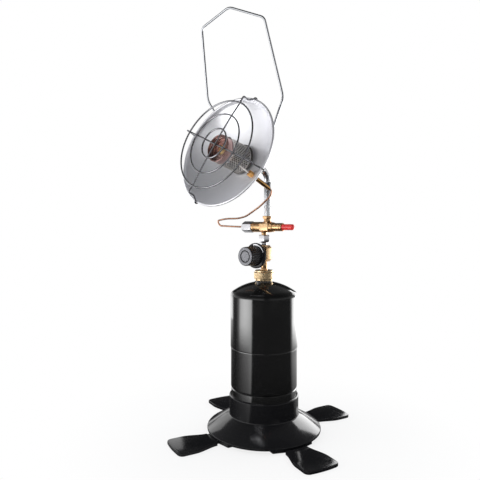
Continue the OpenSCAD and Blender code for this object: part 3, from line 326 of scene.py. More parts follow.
def swept(path, radius, sides=14, twist=0, lobes=0, lobe_depth=0):
    """A round wire along a path; lobes and twist (turns over its length) make it a laid cord."""
    path = [Vector(p) for p in path]
    last = len(path) - 1
    tangents = [
        (path[min(i + 1, last)] - path[max(i - 1, 0)]).normalized() for i in range(len(path))
    ]
    total = run_of(path)
    bm = bmesh.new()
    bmesh.ops.create_circle(bm, cap_ends=True, segments=sides, radius=radius)
    if lobes:
        for v in bm.verts:
            v.co *= 1 - lobe_depth * (1 - cos(lobes * atan2(v.co.y, v.co.x))) / 2
    turn = Vector((0, 0, 1)).rotation_difference(tangents[0])
    moved(bm, shifted(*path[0]) @ turn.to_matrix().to_4x4())
    front = bm.faces[:]
    for i in range(1, len(path)):
        out = bmesh.ops.extrude_face_region(bm, geom=front)["geom"]
        front = picked(out, bmesh.types.BMFace)
        spin = tangents[i - 1].rotation_difference(tangents[i])
        step = (path[i] - path[i - 1]).length
        roll = Quaternion(tangents[i], 2 * pi * twist * step / total)
        bmesh.ops.transform(
            bm, verts=picked(out, bmesh.types.BMVert),
            matrix=shifted(*path[i]) @ (roll @ spin).to_matrix().to_4x4() @ shifted(*-path[i - 1]),
        )
    return new_faces_out(bm)


def frame_copy(node, width=0.0, segments=2, angle=32, dissolve=0.6):
    """A merged copy of a frame node in millimetres, with its sharp edges bevelled."""
    bm = bmesh.new()
    bm.from_mesh(FRAME_NODES[node].data)
    bmesh.ops.scale(bm, vec=(1 / MM,) * 3, verts=bm.verts)
    bmesh.ops.remove_doubles(bm, verts=bm.verts, dist=0.002)
    if dissolve:
        bmesh.ops.dissolve_limit(
            bm, angle_limit=radians(dissolve), use_dissolve_boundaries=False, verts=bm.verts,
            edges=bm.edges, delimit={"NORMAL"},
        )
    return ease(bm, width, segments, angle) if width else bm


MATERIALS, GROUPS = {}, {}


def new_piece(name, bm, material, node=None, at=UPRIGHT, smooth=32, body="heater"):
    """Makes a shape, drawn in millimetres, into a finished piece that rides on a body."""
    moved(bm, Matrix.Scale(MM, 4) @ at)
    mesh = bpy.data.meshes.new(name)
    bm.to_mesh(mesh)
    bm.free()
    mesh.polygons.foreach_set("use_smooth", [True] * len(mesh.polygons))
    mesh.set_sharp_from_angle(angle=radians(smooth))
    mesh.materials.append(MATERIALS[material])
    piece = bpy.data.objects.new(name, mesh)
    bpy.context.scene.collection.objects.link(piece)
    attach(piece, body)
    if node:
        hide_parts(node)


def dress(node, material):
    """Gives a frame node that stays as it is its own finish."""
    mesh = FRAME_NODES[node].data
    mesh.materials.clear()
    mesh.materials.append(MATERIALS[material])


# ---- shader helpers ----


class Tree:
    """A node tree with short calls that add a node, set its values and join its inputs."""

    def __init__(self, tree):
        self.tree = tree

    def put(self, value, socket):
        """Joins an output to an input, or sets the input to a constant."""
        if isinstance(value, bpy.types.NodeSocket):
            self.tree.links.new(value, socket)
        else:
            socket.default_value = value

    def add(self, kind, inputs=None, **settings):
        node = self.tree.nodes.new(kind)
        for key, value in settings.items():
            setattr(node, key, value)
        for key, value in (inputs or {}).items():
            self.put(value, node.inputs[key])
        return node

    def math(self, operation, a, b=0.0, clamp=False):
        node = self.add("ShaderNodeMath", {0: a, 1: b}, operation=operation, use_clamp=clamp)
        return node.outputs[0]

    def times(self, a, b, clamp=False):
        return self.math("MULTIPLY", a, b, clamp)

    def plus(self, a, b, clamp=False):
        return self.math("ADD", a, b, clamp)

    def parts(self, vector):
        return self.add("ShaderNodeSeparateXYZ", {"Vector": vector}).outputs

    def radius(self, vector):
        """The distance from the Z axis."""
        x, y, _ = self.parts(vector)
        return self.math("SQRT", self.plus(self.times(x, x), self.times(y, y)))

    def noise(self, vector, scale, detail=3.0, rough=0.55):
        return self.add(
            "ShaderNodeTexNoise",
            {"Vector": vector, "Scale": scale, "Detail": detail, "Roughness": rough},
        ).outputs["Fac"]

    def spread(self, value, low, high, to_low=0.0, to_high=1.0):
        return self.add(
            "ShaderNodeMapRange",
            {"Value": value, "From Min": low, "From Max": high, "To Min": to_low, "To Max": to_high},
        ).outputs["Result"]

    def colour_ramp(self, value, stops):
        """A colour looked up along (position, colour) stops."""
        node = self.add("ShaderNodeValToRGB", {"Fac": value})
        elements = node.color_ramp.elements
        elements[0].position, elements[1].position = stops[0][0], stops[-1][0]
        for position, _ in stops[1:-1]:
            elements.new(position)
        for element, (_, shade) in zip(elements, stops):
            element.color = (*shade, 1)
        return node.outputs["Color"]

    def ramp(self, value, stops, scale=1.0):
        """A number looked up along (position, height) stops; heights are at most the scale."""
        return self.times(self.colour_ramp(value, [(p, (h / scale,) * 3) for p, h in stops]), scale)

    def dot(self, vector, other):
        return self.add(
            "ShaderNodeVectorMath", {0: vector, 1: other}, operation="DOT_PRODUCT"
        ).outputs["Value"]

    def blend(self, factor, a, b):
        node = self.add("ShaderNodeMix", {0: factor, 6: a, 7: b}, data_type="RGBA")
        return node.outputs[2]

    def group(self, name, **inputs):
        return self.add("ShaderNodeGroup", inputs, node_tree=GROUPS[name]).outputs[0]


def _tone(tree, given):
    """Slow changes of colour and small specks."""
    slow = tree.noise(given["Vector"], given["Scale"], 4)
    fine = tree.noise(given["Vector"], tree.times(given["Scale"], 9.0), 2)
    mask = tree.spread(tree.plus(tree.times(slow, 0.75), tree.times(fine, 0.25)), 0.38, 0.62)
    return tree.blend(tree.times(mask, given["Amount"], True), given["Colour"], given["Second"])


def _gloss(tree, given):
    """Roughness with smudges and fine scratches."""
    smudge = tree.spread(tree.noise(given["Vector"], given["Scale"], 5, 0.65), 0.35, 0.7)
    squeezed = tree.add("ShaderNodeMapping", {"Vector": given["Vector"], "Scale": (1, 1, 14)})
    fine = tree.noise(squeezed.outputs[0], tree.times(given["Scale"], 6.0), 2)
    lines = tree.times(tree.spread(fine, 0.62, 0.78), given["Scratches"])
    span = tree.math("SUBTRACT", given["High"], given["Low"])
    return tree.plus(given["Low"], tree.times(tree.plus(smudge, lines, True), span))


def _peel(tree, given):
    """The soft waviness of paint or moulded plastic, as a height."""
    wave = tree.noise(given["Vector"], given["Scale"], 2, 0.5)
    grain = tree.noise(given["Vector"], tree.times(given["Scale"], 7.0), 2, 0.6)
    return tree.plus(wave, tree.times(grain, 0.3))


def _turning(tree, given):
    """Rings left by turning, round the Z axis of the vector it is given."""
    out = tree.times(tree.radius(given["Vector"]), given["Across"])
    line = tree.add("ShaderNodeCombineXYZ", {"X": tree.plus(tree.parts(given["Vector"])[2], out)})
    return tree.noise(line.outputs[0], given["Scale"], 3, 0.7)


def _wear(tree, given):
    """A mask of the edges and corners that hands and tools rub."""
    edge = tree.spread(tree.add("ShaderNodeNewGeometry").outputs["Pointiness"], 0.51, 0.57)
    broken = tree.spread(tree.noise(given["Vector"], given["Scale"], 4, 0.7), 0.35, 0.6)
    return tree.times(tree.times(edge, broken), given["Amount"], True)


SOCKETS = {"Vector": "NodeSocketVector", "Colour": "NodeSocketColor", "Second": "NodeSocketColor"}


def make_groups():
    """The shared effects, as node groups that each give one colour, height or mask."""
    for name, inputs, result, build in (
        ("Tone", "Vector Scale Amount Colour Second", "Colour", _tone),
        ("Gloss", "Vector Scale Low High Scratches", "Roughness", _gloss),
        ("Peel", "Vector Scale", "Height", _peel),
        ("Turning", "Vector Scale Across", "Rings", _turning),
        ("Edge wear", "Vector Scale Amount", "Mask", _wear),
    ):
        group = bpy.data.node_groups.new(name, "ShaderNodeTree")
        for label in inputs.split():
            kind = SOCKETS.get(label, "NodeSocketFloat")
            group.interface.new_socket(label, in_out="INPUT", socket_type=kind)
        kind = SOCKETS.get(result, "NodeSocketFloat")
        group.interface.new_socket(result, in_out="OUTPUT", socket_type=kind)
        tree = Tree(group)
        tree.add("NodeGroupOutput", {0: build(tree, tree.add("NodeGroupInput").outputs)})
        GROUPS[name] = group


def axis_vector(tree, at):
    """Object coordinates seen from a place, so that its +Z is the axis of the pattern."""
    coordinates = tree.add("ShaderNodeTexCoord").outputs["Object"]
    if at is None:
        return coordinates
    origin, turn = at.translation * MM, at.to_euler("XYZ")
    node = tree.add(
        "ShaderNodeMapping", {"Vector": coordinates, "Location": origin, "Rotation": turn},
        vector_type="TEXTURE",
    )
    return node.outputs[0]


def finish(
    name, base, second=None, amount=0.5, spots=60.0, metallic=0.0, gloss=(0.2, 0.4),
    smudges=45.0, scratches=0.3, peel=None, rings=None, across=1.0, wear=0.0, worn=None,
    at=None, ior=1.5, tint=None, gloss_shade_band=None,
):
    """A material: toned colour, smudged gloss, relief from peel or turning, and worn edges.

    Peel and rings are a scale and a depth in millimetres. Between the two heights of dull the
    gloss is weak.
    """
    material = bpy.data.materials.new(name)
    material.use_nodes = True
    tree = Tree(material.node_tree)
    shader = material.node_tree.nodes["Principled BSDF"].inputs
    vector = axis_vector(tree, at)
    second = second or tuple(c * 0.7 for c in base)
    painted = tree.group(
        "Tone", Vector=vector, Scale=spots, Amount=amount, Colour=(*base, 1), Second=(*second, 1)
    )
    if tint:
        painted = tint(tree, vector, painted)
    if wear:
        rubbed = tree.group("Edge wear", Vector=vector, Scale=220.0, Amount=wear)
        painted = tree.blend(rubbed, painted, (*worn, 1))
    rough = tree.group(
        "Gloss", Vector=vector, Scale=smudges, Low=gloss[0], High=gloss[1], Scratches=scratches
    )
    tree.put(painted, shader["Base Color"])
    tree.put(rough, shader["Roughness"])
    tree.put(metallic, shader["Metallic"])
    tree.put(ior, shader["IOR"])
    # Painted shade: weaker gloss in a band of heights darkens the reflection there
    if gloss_shade_band:
        height, (low, high), edge = tree.parts(vector)[2], gloss_shade_band, 0.001
        inside = tree.times(tree.spread(height, low - edge, low + edge),
                            tree.spread(height, high - edge, high + edge, 1.0, 0.0))
        tree.put(tree.spread(inside, 0.0, 1.0, 0.5, 0.1), shader["Specular IOR Level"])
    if rings or peel:
        scale, depth = rings or peel
        effect = ("Turning", {"Across": across}) if rings else ("Peel", {})
        height = tree.group(effect[0], Vector=vector, Scale=scale, **effect[1])
        bump = tree.add(
            "ShaderNodeBump", {"Height": height, "Strength": 1.0, "Distance": depth * MM}
        )
        tree.put(bump.outputs[0], shader["Normal"])
    MATERIALS[name] = material


def _dish_tint(tree, vector, painted):
    """The sheet turns a little darker and warmer towards its middle, where it gets hot."""
    hot = tree.spread(tree.radius(vector), 0.018, 0.05, 0.12, 0.0)
    return tree.blend(hot, painted, (0.62, 0.56, 0.52, 1))


def _gauze_tint(tree, vector, painted):
    """Only the middle of the stepped disc stays gold; its rings take the cup's heat colours."""
    rings = tree.spread(tree.radius(vector), 0.0058, 0.0072)
    return tree.blend(rings, painted, (0.50, 0.33, 0.30, 1))


def _heat_bands(tree, vector, painted):
    """Heat colours along the cup: straw near the barrel, then brown and violet to the lip."""
    wander = tree.times(tree.noise(vector, 70.0, 3), 0.01)
    along = tree.spread(tree.plus(tree.parts(vector)[2], wander), 0.039, 0.051)
    bands = tree.colour_ramp(along, (
        (0.0, (0.62, 0.53, 0.47)), (0.3, (0.55, 0.43, 0.41)), (0.62, (0.50, 0.36, 0.36)),
        (1.0, (0.42, 0.26, 0.24))))
    return tree.blend(0.75, painted, bands)


def make_materials(scene):
    make_groups()
    colours = scene.heater_colours
    wear, brass = colours.wear, tuple(colours.brass)
    dark = tuple(c * f for c, f in zip(brass, (0.72, 0.62, 0.45)))
    metal = dict(metallic=1.0)
    valve = dict(base=brass, second=dark, metallic=1.0, wear=wear)
    turned_brass = dict(
        valve, amount=0.45, spots=110.0, gloss=(0.24, 0.40), rings=(1400.0, 0.012),
        worn=(0.95, 0.80, 0.50))
    plastic = dict(base=tuple(colours.plastic), amount=0.4)

    finish("base_black", **plastic, gloss=(0.08, 0.18), scratches=0.25, peel=(260.0, 0.02),
           wear=0.3 * wear, worn=(0.06, 0.06, 0.062))
    finish("leg_black", **plastic, gloss=(0.09, 0.17), ior=1.4, scratches=0.35,
           peel=(420.0, 0.015), wear=0.4 * wear, worn=(0.07, 0.07, 0.072))
    # Its weak-gloss band at the dome's knuckle is painted shade on the reflection
    finish("cylinder_enamel", tuple(colours.enamel), amount=0.3, gloss=(0.06, 0.15), ior=2.0,
           scratches=0.2, smudges=30.0, peel=(170.0, 0.02), gloss_shade_band=(0.2, 0.2085))
    finish("neck_steel", (0.05, 0.05, 0.05), gloss=(0.25, 0.4), rings=(900.0, 0.05), ior=1.6)
    finish("brass", **turned_brass)
    finish("brass_valve", **turned_brass, across=0.0, at=SAFETY)
    finish("brass_block", **valve, amount=0.35, spots=90.0, gloss=(0.30, 0.44),
           peel=(700.0, 0.015), worn=(0.97, 0.83, 0.55))
    finish("brass_bright", (0.88, 0.68, 0.42), dark, amount=0.35, spots=160.0, **metal,
           gloss=(0.22, 0.36), wear=wear, worn=(1.0, 0.88, 0.62))
    finish("sleeve_brass", (0.92, 0.52, 0.18), (0.62, 0.31, 0.10), **metal, gloss=(0.2, 0.36),
           rings=(1200.0, 0.01), at=PROBE, across=0.0)
    finish("seal_rubber", (0.03, 0.03, 0.03), gloss=(0.5, 0.7), peel=(800.0, 0.03))
    finish("knob_black", tuple(colours.knob), amount=0.3, gloss=(0.18, 0.32), ior=1.32,
           scratches=0.4, peel=(900.0, 0.02), wear=0.5 * wear, worn=(0.09, 0.09, 0.09))
    finish("knob_grey", tuple(colours.knob_inlay), (0.165, 0.165, 0.18), gloss=(0.3, 0.45),
           rings=(1800.0, 0.01), at=KNOB)
    finish("mark_white", (0.97, 0.97, 0.98), (0.88, 0.88, 0.90), amount=0.4, spots=300.0,
           gloss=(0.4, 0.6), peel=(900.0, 0.02))
    finish("steel", (0.66, 0.66, 0.67), **metal, gloss=(0.2, 0.36), rings=(1200.0, 0.01))
    finish("nickel", (0.64, 0.64, 0.66), (0.48, 0.48, 0.52), amount=0.4, **metal,
           gloss=(0.14, 0.28), peel=(500.0, 0.012), wear=wear, worn=(0.95, 0.95, 0.95))
    finish("button_red", tuple(colours.button), (0.66, 0.035, 0.035), amount=0.4,
           gloss=(0.16, 0.30), ior=1.52, peel=(500.0, 0.01))
    finish("copper", tuple(colours.copper), (0.45, 0.22, 0.15), amount=0.55, spots=120.0,
           **metal, gloss=(0.22, 0.38))
    finish("tube_zinc", (0.72, 0.74, 0.76), (0.52, 0.54, 0.57), spots=120.0, **metal,
           gloss=(0.18, 0.32), peel=(600.0, 0.012))
    finish("dish_aluminium", tuple(colours.aluminium), (0.79, 0.79, 0.82), amount=0.35,
           spots=40.0, metallic=0.70, gloss=(0.30, 0.40), rings=(900.0, 0.006), at=DISH,
           tint=_dish_tint)
    finish("burner_steel", (0.82, 0.80, 0.77), (0.52, 0.49, 0.46), spots=140.0, **metal,
           gloss=(0.28, 0.45), wear=wear, worn=(0.75, 0.74, 0.72), at=BURNER)
    finish("burner_dark", (0.16, 0.15, 0.145), (0.07, 0.065, 0.06), amount=0.6, **metal,
           gloss=(0.35, 0.55), wear=wear, worn=(0.5, 0.48, 0.46), at=BURNER)
    # Near-black finish of the painted shade inside the burner barrel
    finish("shade_black", (0.012, 0.011, 0.010), gloss=(0.6, 0.85), peel=(900.0, 0.05))
    finish("burner_copper", tuple(colours.heat_tint), (0.36, 0.23, 0.21), spots=90.0, **metal,
           gloss=(0.14, 0.28), at=BURNER, tint=_heat_bands)
    finish("gauze", (0.80, 0.56, 0.28), (0.46, 0.27, 0.14), amount=0.6, spots=200.0, **metal,
           gloss=(0.2, 0.35), rings=(1500.0, 0.02), at=BURNER, tint=_gauze_tint)
    finish("guard_wire", (0.36, 0.36, 0.38), (0.24, 0.24, 0.26), spots=150.0, **metal,
           gloss=(0.10, 0.20))
    finish("bail_wire", (0.44, 0.45, 0.47), (0.32, 0.33, 0.35), amount=0.4, spots=100.0,
           **metal, gloss=(0.12, 0.26))
    finish("probe_steel", (0.78, 0.76, 0.72), (0.55, 0.50, 0.44), **metal, gloss=(0.18, 0.32))


# ---- base and legs ----


def build_base(scene):
    inner, foot = SKIRT_R - SKIRT_WALL, COLLAR_R + 1.2
    shell = lathe([
        (0, SEAT_Z - 2.5), (CUP_R - 2, SEAT_Z - 2.5), (CUP_R, CONE_Z - SKIRT_WALL - 4.4),
        (inner, LIP_Z - 1), (inner, SKIRT_Z), (SKIRT_R, SKIRT_Z), (SKIRT_R, LIP_Z - 0.8),
        (SKIRT_R - 0.8, LIP_Z), (foot + 1.2, CONE_Z - 0.4), (foot - 0.6, CONE_Z + 0.4),
        (COLLAR_R, CONE_Z + 1.6), (COLLAR_R, COLLAR_Z - 1.2), (COLLAR_R - 1.2, COLLAR_Z),
        (CUP_R, COLLAR_Z), (CUP_R, SEAT_Z), (0, SEAT_Z),
    ], LARGE, rounding=(0.5, 3, 16))
    new_piece("base_shell", shell, "base_black", "base_cup", body="base")

    w, low, top = SOCKET_HALF_W, SOCKET_LOW, SOCKET_TOP
    half, wide = SLOT_HALF_W, SLOT_WIDE_HALF_W
    section = [
        (-w, low), (-half, low), (-half, SLOT_Z), (-wide, SLOT_Z), (-wide, SLOT_TOP),
        (wide, SLOT_TOP), (wide, SLOT_Z), (half, SLOT_Z), (half, low), (w, low), (w, top),
        (-w, top),
    ]
    back, past_skirt = TONGUE_R - SLOT_GAP, 90
    for k in range(4):
        slotted = moved(prism(section, back, past_skirt), turned(90) @ turned(90, "X"))
        socket = joined(slotted, box((SOCKET_R, -w, low), (back, w, top)))
        for angle in (-SOCKET_FACE_TURN, 0, SOCKET_FACE_TURN):
            out = turned(angle).to_3x3() @ Vector((1, 0, 0))
            cut(socket, SOCKET_FACE * out, out)
        cut(socket, Vector((SOCKET_R, 0, SOCKET_CREST)), Vector((SOCKET_SLOPE, 0, 1)))
        for side in (1, -1):
            cut(socket, Vector((SOCKET_SIDE_R, side * w, SOCKET_SIDE_CREST)),
                Vector((SOCKET_SIDE_SLOPE, side * SOCKET_SIDE_FALL, 1)))
        ease(socket, 0.25, 1, 40)
        new_piece(f"leg_socket_{k + 1}", socket, "base_black", at=turned(LEG_TURN + 90 * k),
                  body="base")


def build_legs(scene):
    for k in range(1, 5):
        leg = frame_copy(f"leg_{k}", scene.heater_sizes.leg_round / MM, 4, 50)
        new_piece(f"leg_{k}_paddle", leg, "leg_black", f"leg_{k}", body=f"leg_{k}")


# ---- fuel cylinder ----

KNUCKLE_AT = CAN_UPPER_R - KNUCKLE_R
CROWN_R = (DOME_H**2 + KNUCKLE_AT**2 - KNUCKLE_R**2) / (2 * (DOME_H - KNUCKLE_R))


def dome_height(r):
    return APEX_Z - CROWN_R + sqrt(CROWN_R**2 - r**2)


def dome(inner, steps):
    """Points of the domed top: the knuckle at the side, then the crown in to the inner radius."""
    turn = atan2(KNUCKLE_AT, CROWN_R - DOME_H)
    knuckle = [(pi / 2 - turn) * i / 8 for i in range(9)]
    start = asin(inner / CROWN_R)
    crown = [turn + (start - turn) * i / steps for i in range(1, steps + 1)]
    return [
        (KNUCKLE_AT + KNUCKLE_R * cos(t), DOME_Z + KNUCKLE_R * sin(t)) for t in knuckle
    ] + [(CROWN_R * sin(t), dome_height(CROWN_R * sin(t))) for t in crown]


def belly(a, b, z, steps):
    """Points of the rounded bottom, from the middle out to its full radius."""
    power = 2 / BELLY_POWER
    turns = [pi / 2 * i / steps for i in range(steps + 1)]
    return [(a * sin(t) ** power, z - b * max(cos(t), 0) ** power) for t in turns]


def build_cylinder(scene):
    r, low, top = FOOT_R, FOOT_Z, FOOT_TOP_Z
    foot = lathe([
        (r - 5, low), (r - 1, low), (r, low + 1), (r, top - 1), (r - 1, top),
        (r - FOOT_WALL, top), (r - FOOT_WALL, low + FOOT_WALL), (r - 5, low + FOOT_WALL),
    ], LARGE, True, (0.3, 2, 25))
    new_piece("foot_ring", foot, "cylinder_enamel", "cylinder_foot_ring")

    belly_r, lap_r, r = FOOT_R - BELLY_IN, CAN_UPPER_R - CAN_WALL, CAN_R
    lower = lathe(belly(belly_r, BELLY_H, FOOT_Z + BELLY_RISE, 14) + [
        (belly_r, top + 0.4), (r - 0.5, top + 1.4), (r, top + 2.4), (r, top + 3.6),
        (r, SEAM_Z - 1.6), (r, SEAM_Z - 0.4), (lap_r - 0.05, SEAM_Z), (lap_r - 0.05, SEAM_Z + 8),
        (lap_r - CAN_WALL, SEAM_Z + 8),
    ], LARGE, rounding=(0.3, 2, 25))
    new_piece("lower_shell", lower, "cylinder_enamel", "cylinder_lower_shell")

    r = CAN_UPPER_R
    upper = lathe([
        (lap_r, SEAM_Z + 6), (lap_r, SEAM_Z), (r - 0.35, SEAM_Z), (r - 0.06, SEAM_Z + 0.25),
        (r, SEAM_Z + 0.8), (r, SEAM_Z + 2), (r, DOME_Z - 2),
    ] + dome(NECK_R - 0.2, 26), LARGE, rounding=(0.2, 2, 40))
    new_piece("upper_shell", upper, "cylinder_enamel", "cylinder_upper_shell")

    r, z, end = NECK_R, APEX_Z, APEX_Z + NECK_H
    neck = lathe([
        (PORT_R, z - 8), (r + 2.2, z - 8), (r + 2.2, z - 1.6), (r + 0.9, z - 0.6), (r, z - 0.2),
        (r, end - 0.8), (r - 0.8, end), (NECK_BORE, end), (NECK_BORE, z + 2), (PORT_R, z + 2),
    ], MIDDLE, True, (0.25,))
    new_piece("neck", neck, "neck_steel", "cylinder_neck")

    r, z = RELIEF_R, dome_height(RELIEF_AT)
    relief = lathe([
        (0, z - 4), (r, z - 4), (r, z + 3.6), (r - 0.9, z + 4.6), (1.3, z + 4.6),
        (1.2, z + 2.6), (0, z + 2.6),
    ], 40, rounding=(0.25,))
    new_piece("relief_cap", relief, "neck_steel", "relief_valve",
              turned(RELIEF_TURN) @ shifted(RELIEF_AT, 0, 0))


# ---- coupling and regulating valve ----


def build_coupling(scene):
    sizes = scene.heater_sizes
    top, clear = NUT_Z + NUT_H, 0.08
    low, high = NUT_Z + KNURL_IN, top - KNURL_IN
    count = 2 * sizes.knurl_count
    rows = max(4, round((high - low) / (pi * 2 * NUT_R / count)))
    r = NUT_END_R
    nut = lathe(
        [(NECK_R + clear, NUT_Z), (r - 1.2, NUT_Z), (r, NUT_Z + 1), (r, NUT_Z + 2.6)]
        + [(NUT_R, low + (high - low) * i / rows) for i in range(rows + 1)]
        + [(r, top - 2.6), (r, top - 1), (r - 1.2, top), (STEM_R + clear, top),
           (STEM_R + clear, NUT_Z + NUT_SHOULDER), (NECK_R + clear, NUT_Z + NUT_SHOULDER)],
        count, True,
    )
    depth = sizes.knurl_depth / MM
    for v in nut.verts:
        radius = v.co.xy.length
        if abs(radius - NUT_R) < 0.01:
            column = round(atan2(v.co.y, v.co.x) / (2 * pi) * count)
            row = round((v.co.z - low) / (high - low) * rows)
            if (column + row) % 2 == 0:
                v.co.xy *= (radius - depth) / radius
    middles = [(f, f.calc_center_median()) for f in nut.faces]
    band = [f for f, m in middles if low - 0.1 < m.z < high + 0.1 and m.xy.length > NUT_R - 1]
    bmesh.ops.triangulate(nut, faces=band, quad_method="SHORT_EDGE")
    new_piece("knurled_nut", nut, "brass_bright", "coupling_nut", smooth=18, body="coupling_nut")

    r, flange, end = STEM_R, STEM_FLANGE_Z, BLOCK_Z + 0.2
    stem = lathe([
        (BORE_R, PIN_Z + 2), (PIN_R, PIN_Z), (PIN_R, flange), (STEM_FLANGE_R, flange),
        (STEM_FLANGE_R, flange + STEM_FLANGE_T), (r, flange + STEM_FLANGE_T), (r, top + 1.6),
        (r - 0.7, top + 2.2), (r - 0.7, top + 3.2), (r, top + 3.8), (r, BLOCK_Z - 2.4),
        (r - 0.6, BLOCK_Z - 1.6), (r - 0.6, end), (BORE_R, end),
    ], SMALL, True, (0.2,))
    new_piece("stem", stem, "brass", "inlet_stem")


def build_valve(scene):
    new_piece("valve_block", frame_copy("valve_body", 0.7, 3), "brass_block", "valve_body")
    for node, material in (("gland_nut", "brass_block"), ("tube_lock_nut", "brass_block"),
                           ("union_nut", "nickel"), ("dish_back_nut", "nickel")):
        new_piece(f"{node}_turned", frame_copy(node, 0.28), material, node)
    r, z, top = OUTLET_NECK_R, UNION_Z, UNION_TOP_Z - 1
    neck = lathe([
        (BORE_R, OUTLET_NECK_Z), (r, OUTLET_NECK_Z), (r, z - 1.2), (r - 0.6, z - 0.7),
        (r - 0.6, z - 0.1), (r - 1.2, z - 0.1), (r - 1.2, top), (BORE_R, top),
    ], SMALL, True, (0.2,))
    new_piece("outlet_neck_turned", neck, "nickel", "outlet_neck")


def build_knob(scene):
    r, wide, back = KNOB_R, KNOB_SKIRT_R, KNOB_BACK
    skirt = back + KNOB_SKIRT_T
    end = skirt + KNOB_LEN
    ring_out, ring_in = r - 0.9, r - 4.6
    cap = ring_in - 1.6
    flutes, across = 24, 10
    start, stop = skirt + 2.2, end - 1.4
    grip = [(r + 0.6 - 0.6 * i / 12, start + (stop - start) * i / 12) for i in range(13)]
    knob = lathe([
        (3.1, back), (8.8, back), (wide - 0.6, back), (wide, back + 0.6), (wide, skirt - 1),
        (wide - 1, skirt), (r + 1.2, skirt), (r + 0.6, skirt + 1.4), *grip,
        (r - 0.1, end - 0.7), (r - 0.4, end - 0.2), (r - 0.75, end), (ring_out + 0.05, end),
        (ring_out + 0.05, end - 1), (cap + 0.05, end - 1), (0, end - 1),
    ], flutes * across)
    depth = scene.heater_sizes.flute_depth / MM
    for v in knob.verts:
        radius, z = v.co.xy.length, v.co.z
        if start - 0.1 < z < stop + 0.1 and radius > r - 1:
            t = (z - start) / (stop - start)
            rise = min(1, t / 0.12, (1 - t) / 0.10)
            wave = (0.5 + 0.5 * cos(flutes * atan2(v.co.y, v.co.x))) ** 1.3
            v.co.xy *= 1 - depth * wave * max(0, rise) / radius
    ease(knob, 0.18, 2, 60)
    new_piece("knob_grip", knob, "knob_black", "control_knob", KNOB, 28, "knob")
    ring = lathe([(ring_in, end - 1), (ring_out, end - 1), (ring_out, end + 0.2),
                  (ring_in, end + 0.2)], MIDDLE, True, (0.25, 3))
    new_piece("knob_ring_inlay", ring, "knob_grey", "knob_ring", KNOB, body="knob")
    disc = lathe([(0, end - 1), (cap, end - 1), (cap, end - 0.25), (cap - 0.3, end), (0, end)])
    new_piece("knob_cap_inlay", disc, "knob_grey", "knob_cap", KNOB, body="knob")
    new_piece("knob_marks", frame_copy("knob_scale"), "mark_white", "knob_scale", body="knob")
    dress("knob_set_screw", "steel")


# ---- safety valve ----


def build_safety_valve(scene):
    left, right, r, h, x = -SAFETY_LEFT, SAFETY_RIGHT, SAFETY_R, HOUSING_R, HOUSING_X
    seat = BUTTON_R + 0.3
    barrel = lathe([
        (5, left + 4), (5, left), (r - 0.7, left), (r, left + 0.7), (r, left + 3.4),
        (r - 0.35, left + 3.7), (r - 0.35, left + 4.3), (r, left + 4.6), (r, right - 5),
        (r - 0.4, right - 4.2), (r - 0.8, right), (h + 0.5, right), (h, right + 0.7),
        (h, x - 4.2), (h - 0.25, x - 4), (h - 0.25, x - 3.4), (h, x - 3.2), (h, x - 0.7),
        (h - 0.6, x), (seat, x), (seat, x - 9),
    ], MIDDLE, rounding=(0.18,))
    new_piece("safety_barrel", new_faces_out(barrel), "brass_valve", "safety_valve_body", SAFETY)

    pad = box((-3, -r - 0.8, SAFETY_Z - 5.4), (13, 0, SAFETY_Z + 5.4))
    new_piece("safety_pad", ease(pad, 0.7, 3, 40), "brass_block")

    z = UNION_TOP_Z
    inlet = lathe([(0, z), (3.2, z), (3.7, z + 0.4), (3.7, z + 2.2), (4.3, z + 3.6), (5.2, z + 5),
                   (0, z + 5)], SMALL)
    new_piece("safety_inlet", inlet, "brass_block")
    z, top = SAFETY_Z, OUTLET_Z
    outlet = lathe([(0, z + 5), (7, z + 5), (6.3, z + 6.6), (5.3, z + 8.2), (5, z + 9.4),
                    (5, top - 0.3), (TUBE_SEAT_R, top), (0, top)], SMALL)
    new_piece("safety_outlet", outlet, "brass_block", at=shifted(OUTLET_X, 0, 0))

    r, z, end = BUTTON_R, BUTTON_X, BUTTON_X + BUTTON_LEN
    tip = [
        (r - BUTTON_ROUND + BUTTON_ROUND * cos(a), end - BUTTON_ROUND + BUTTON_ROUND * sin(a))
        for a in [radians(9 * i) for i in range(11)]
    ]
    button = lathe(
        [(PLUNGER_R, z + 5), (PLUNGER_R, z), (r - 0.3, z), (r, z + 0.3), *tip, (0, end)], 72)
    new_piece("button_cap", button, "button_red", "safety_button", SAFETY, body="button")
    new_piece("thermocouple_nut_turned", frame_copy("thermocouple_nut", 0.3, 2, 34), "nickel",
              "thermocouple_nut")


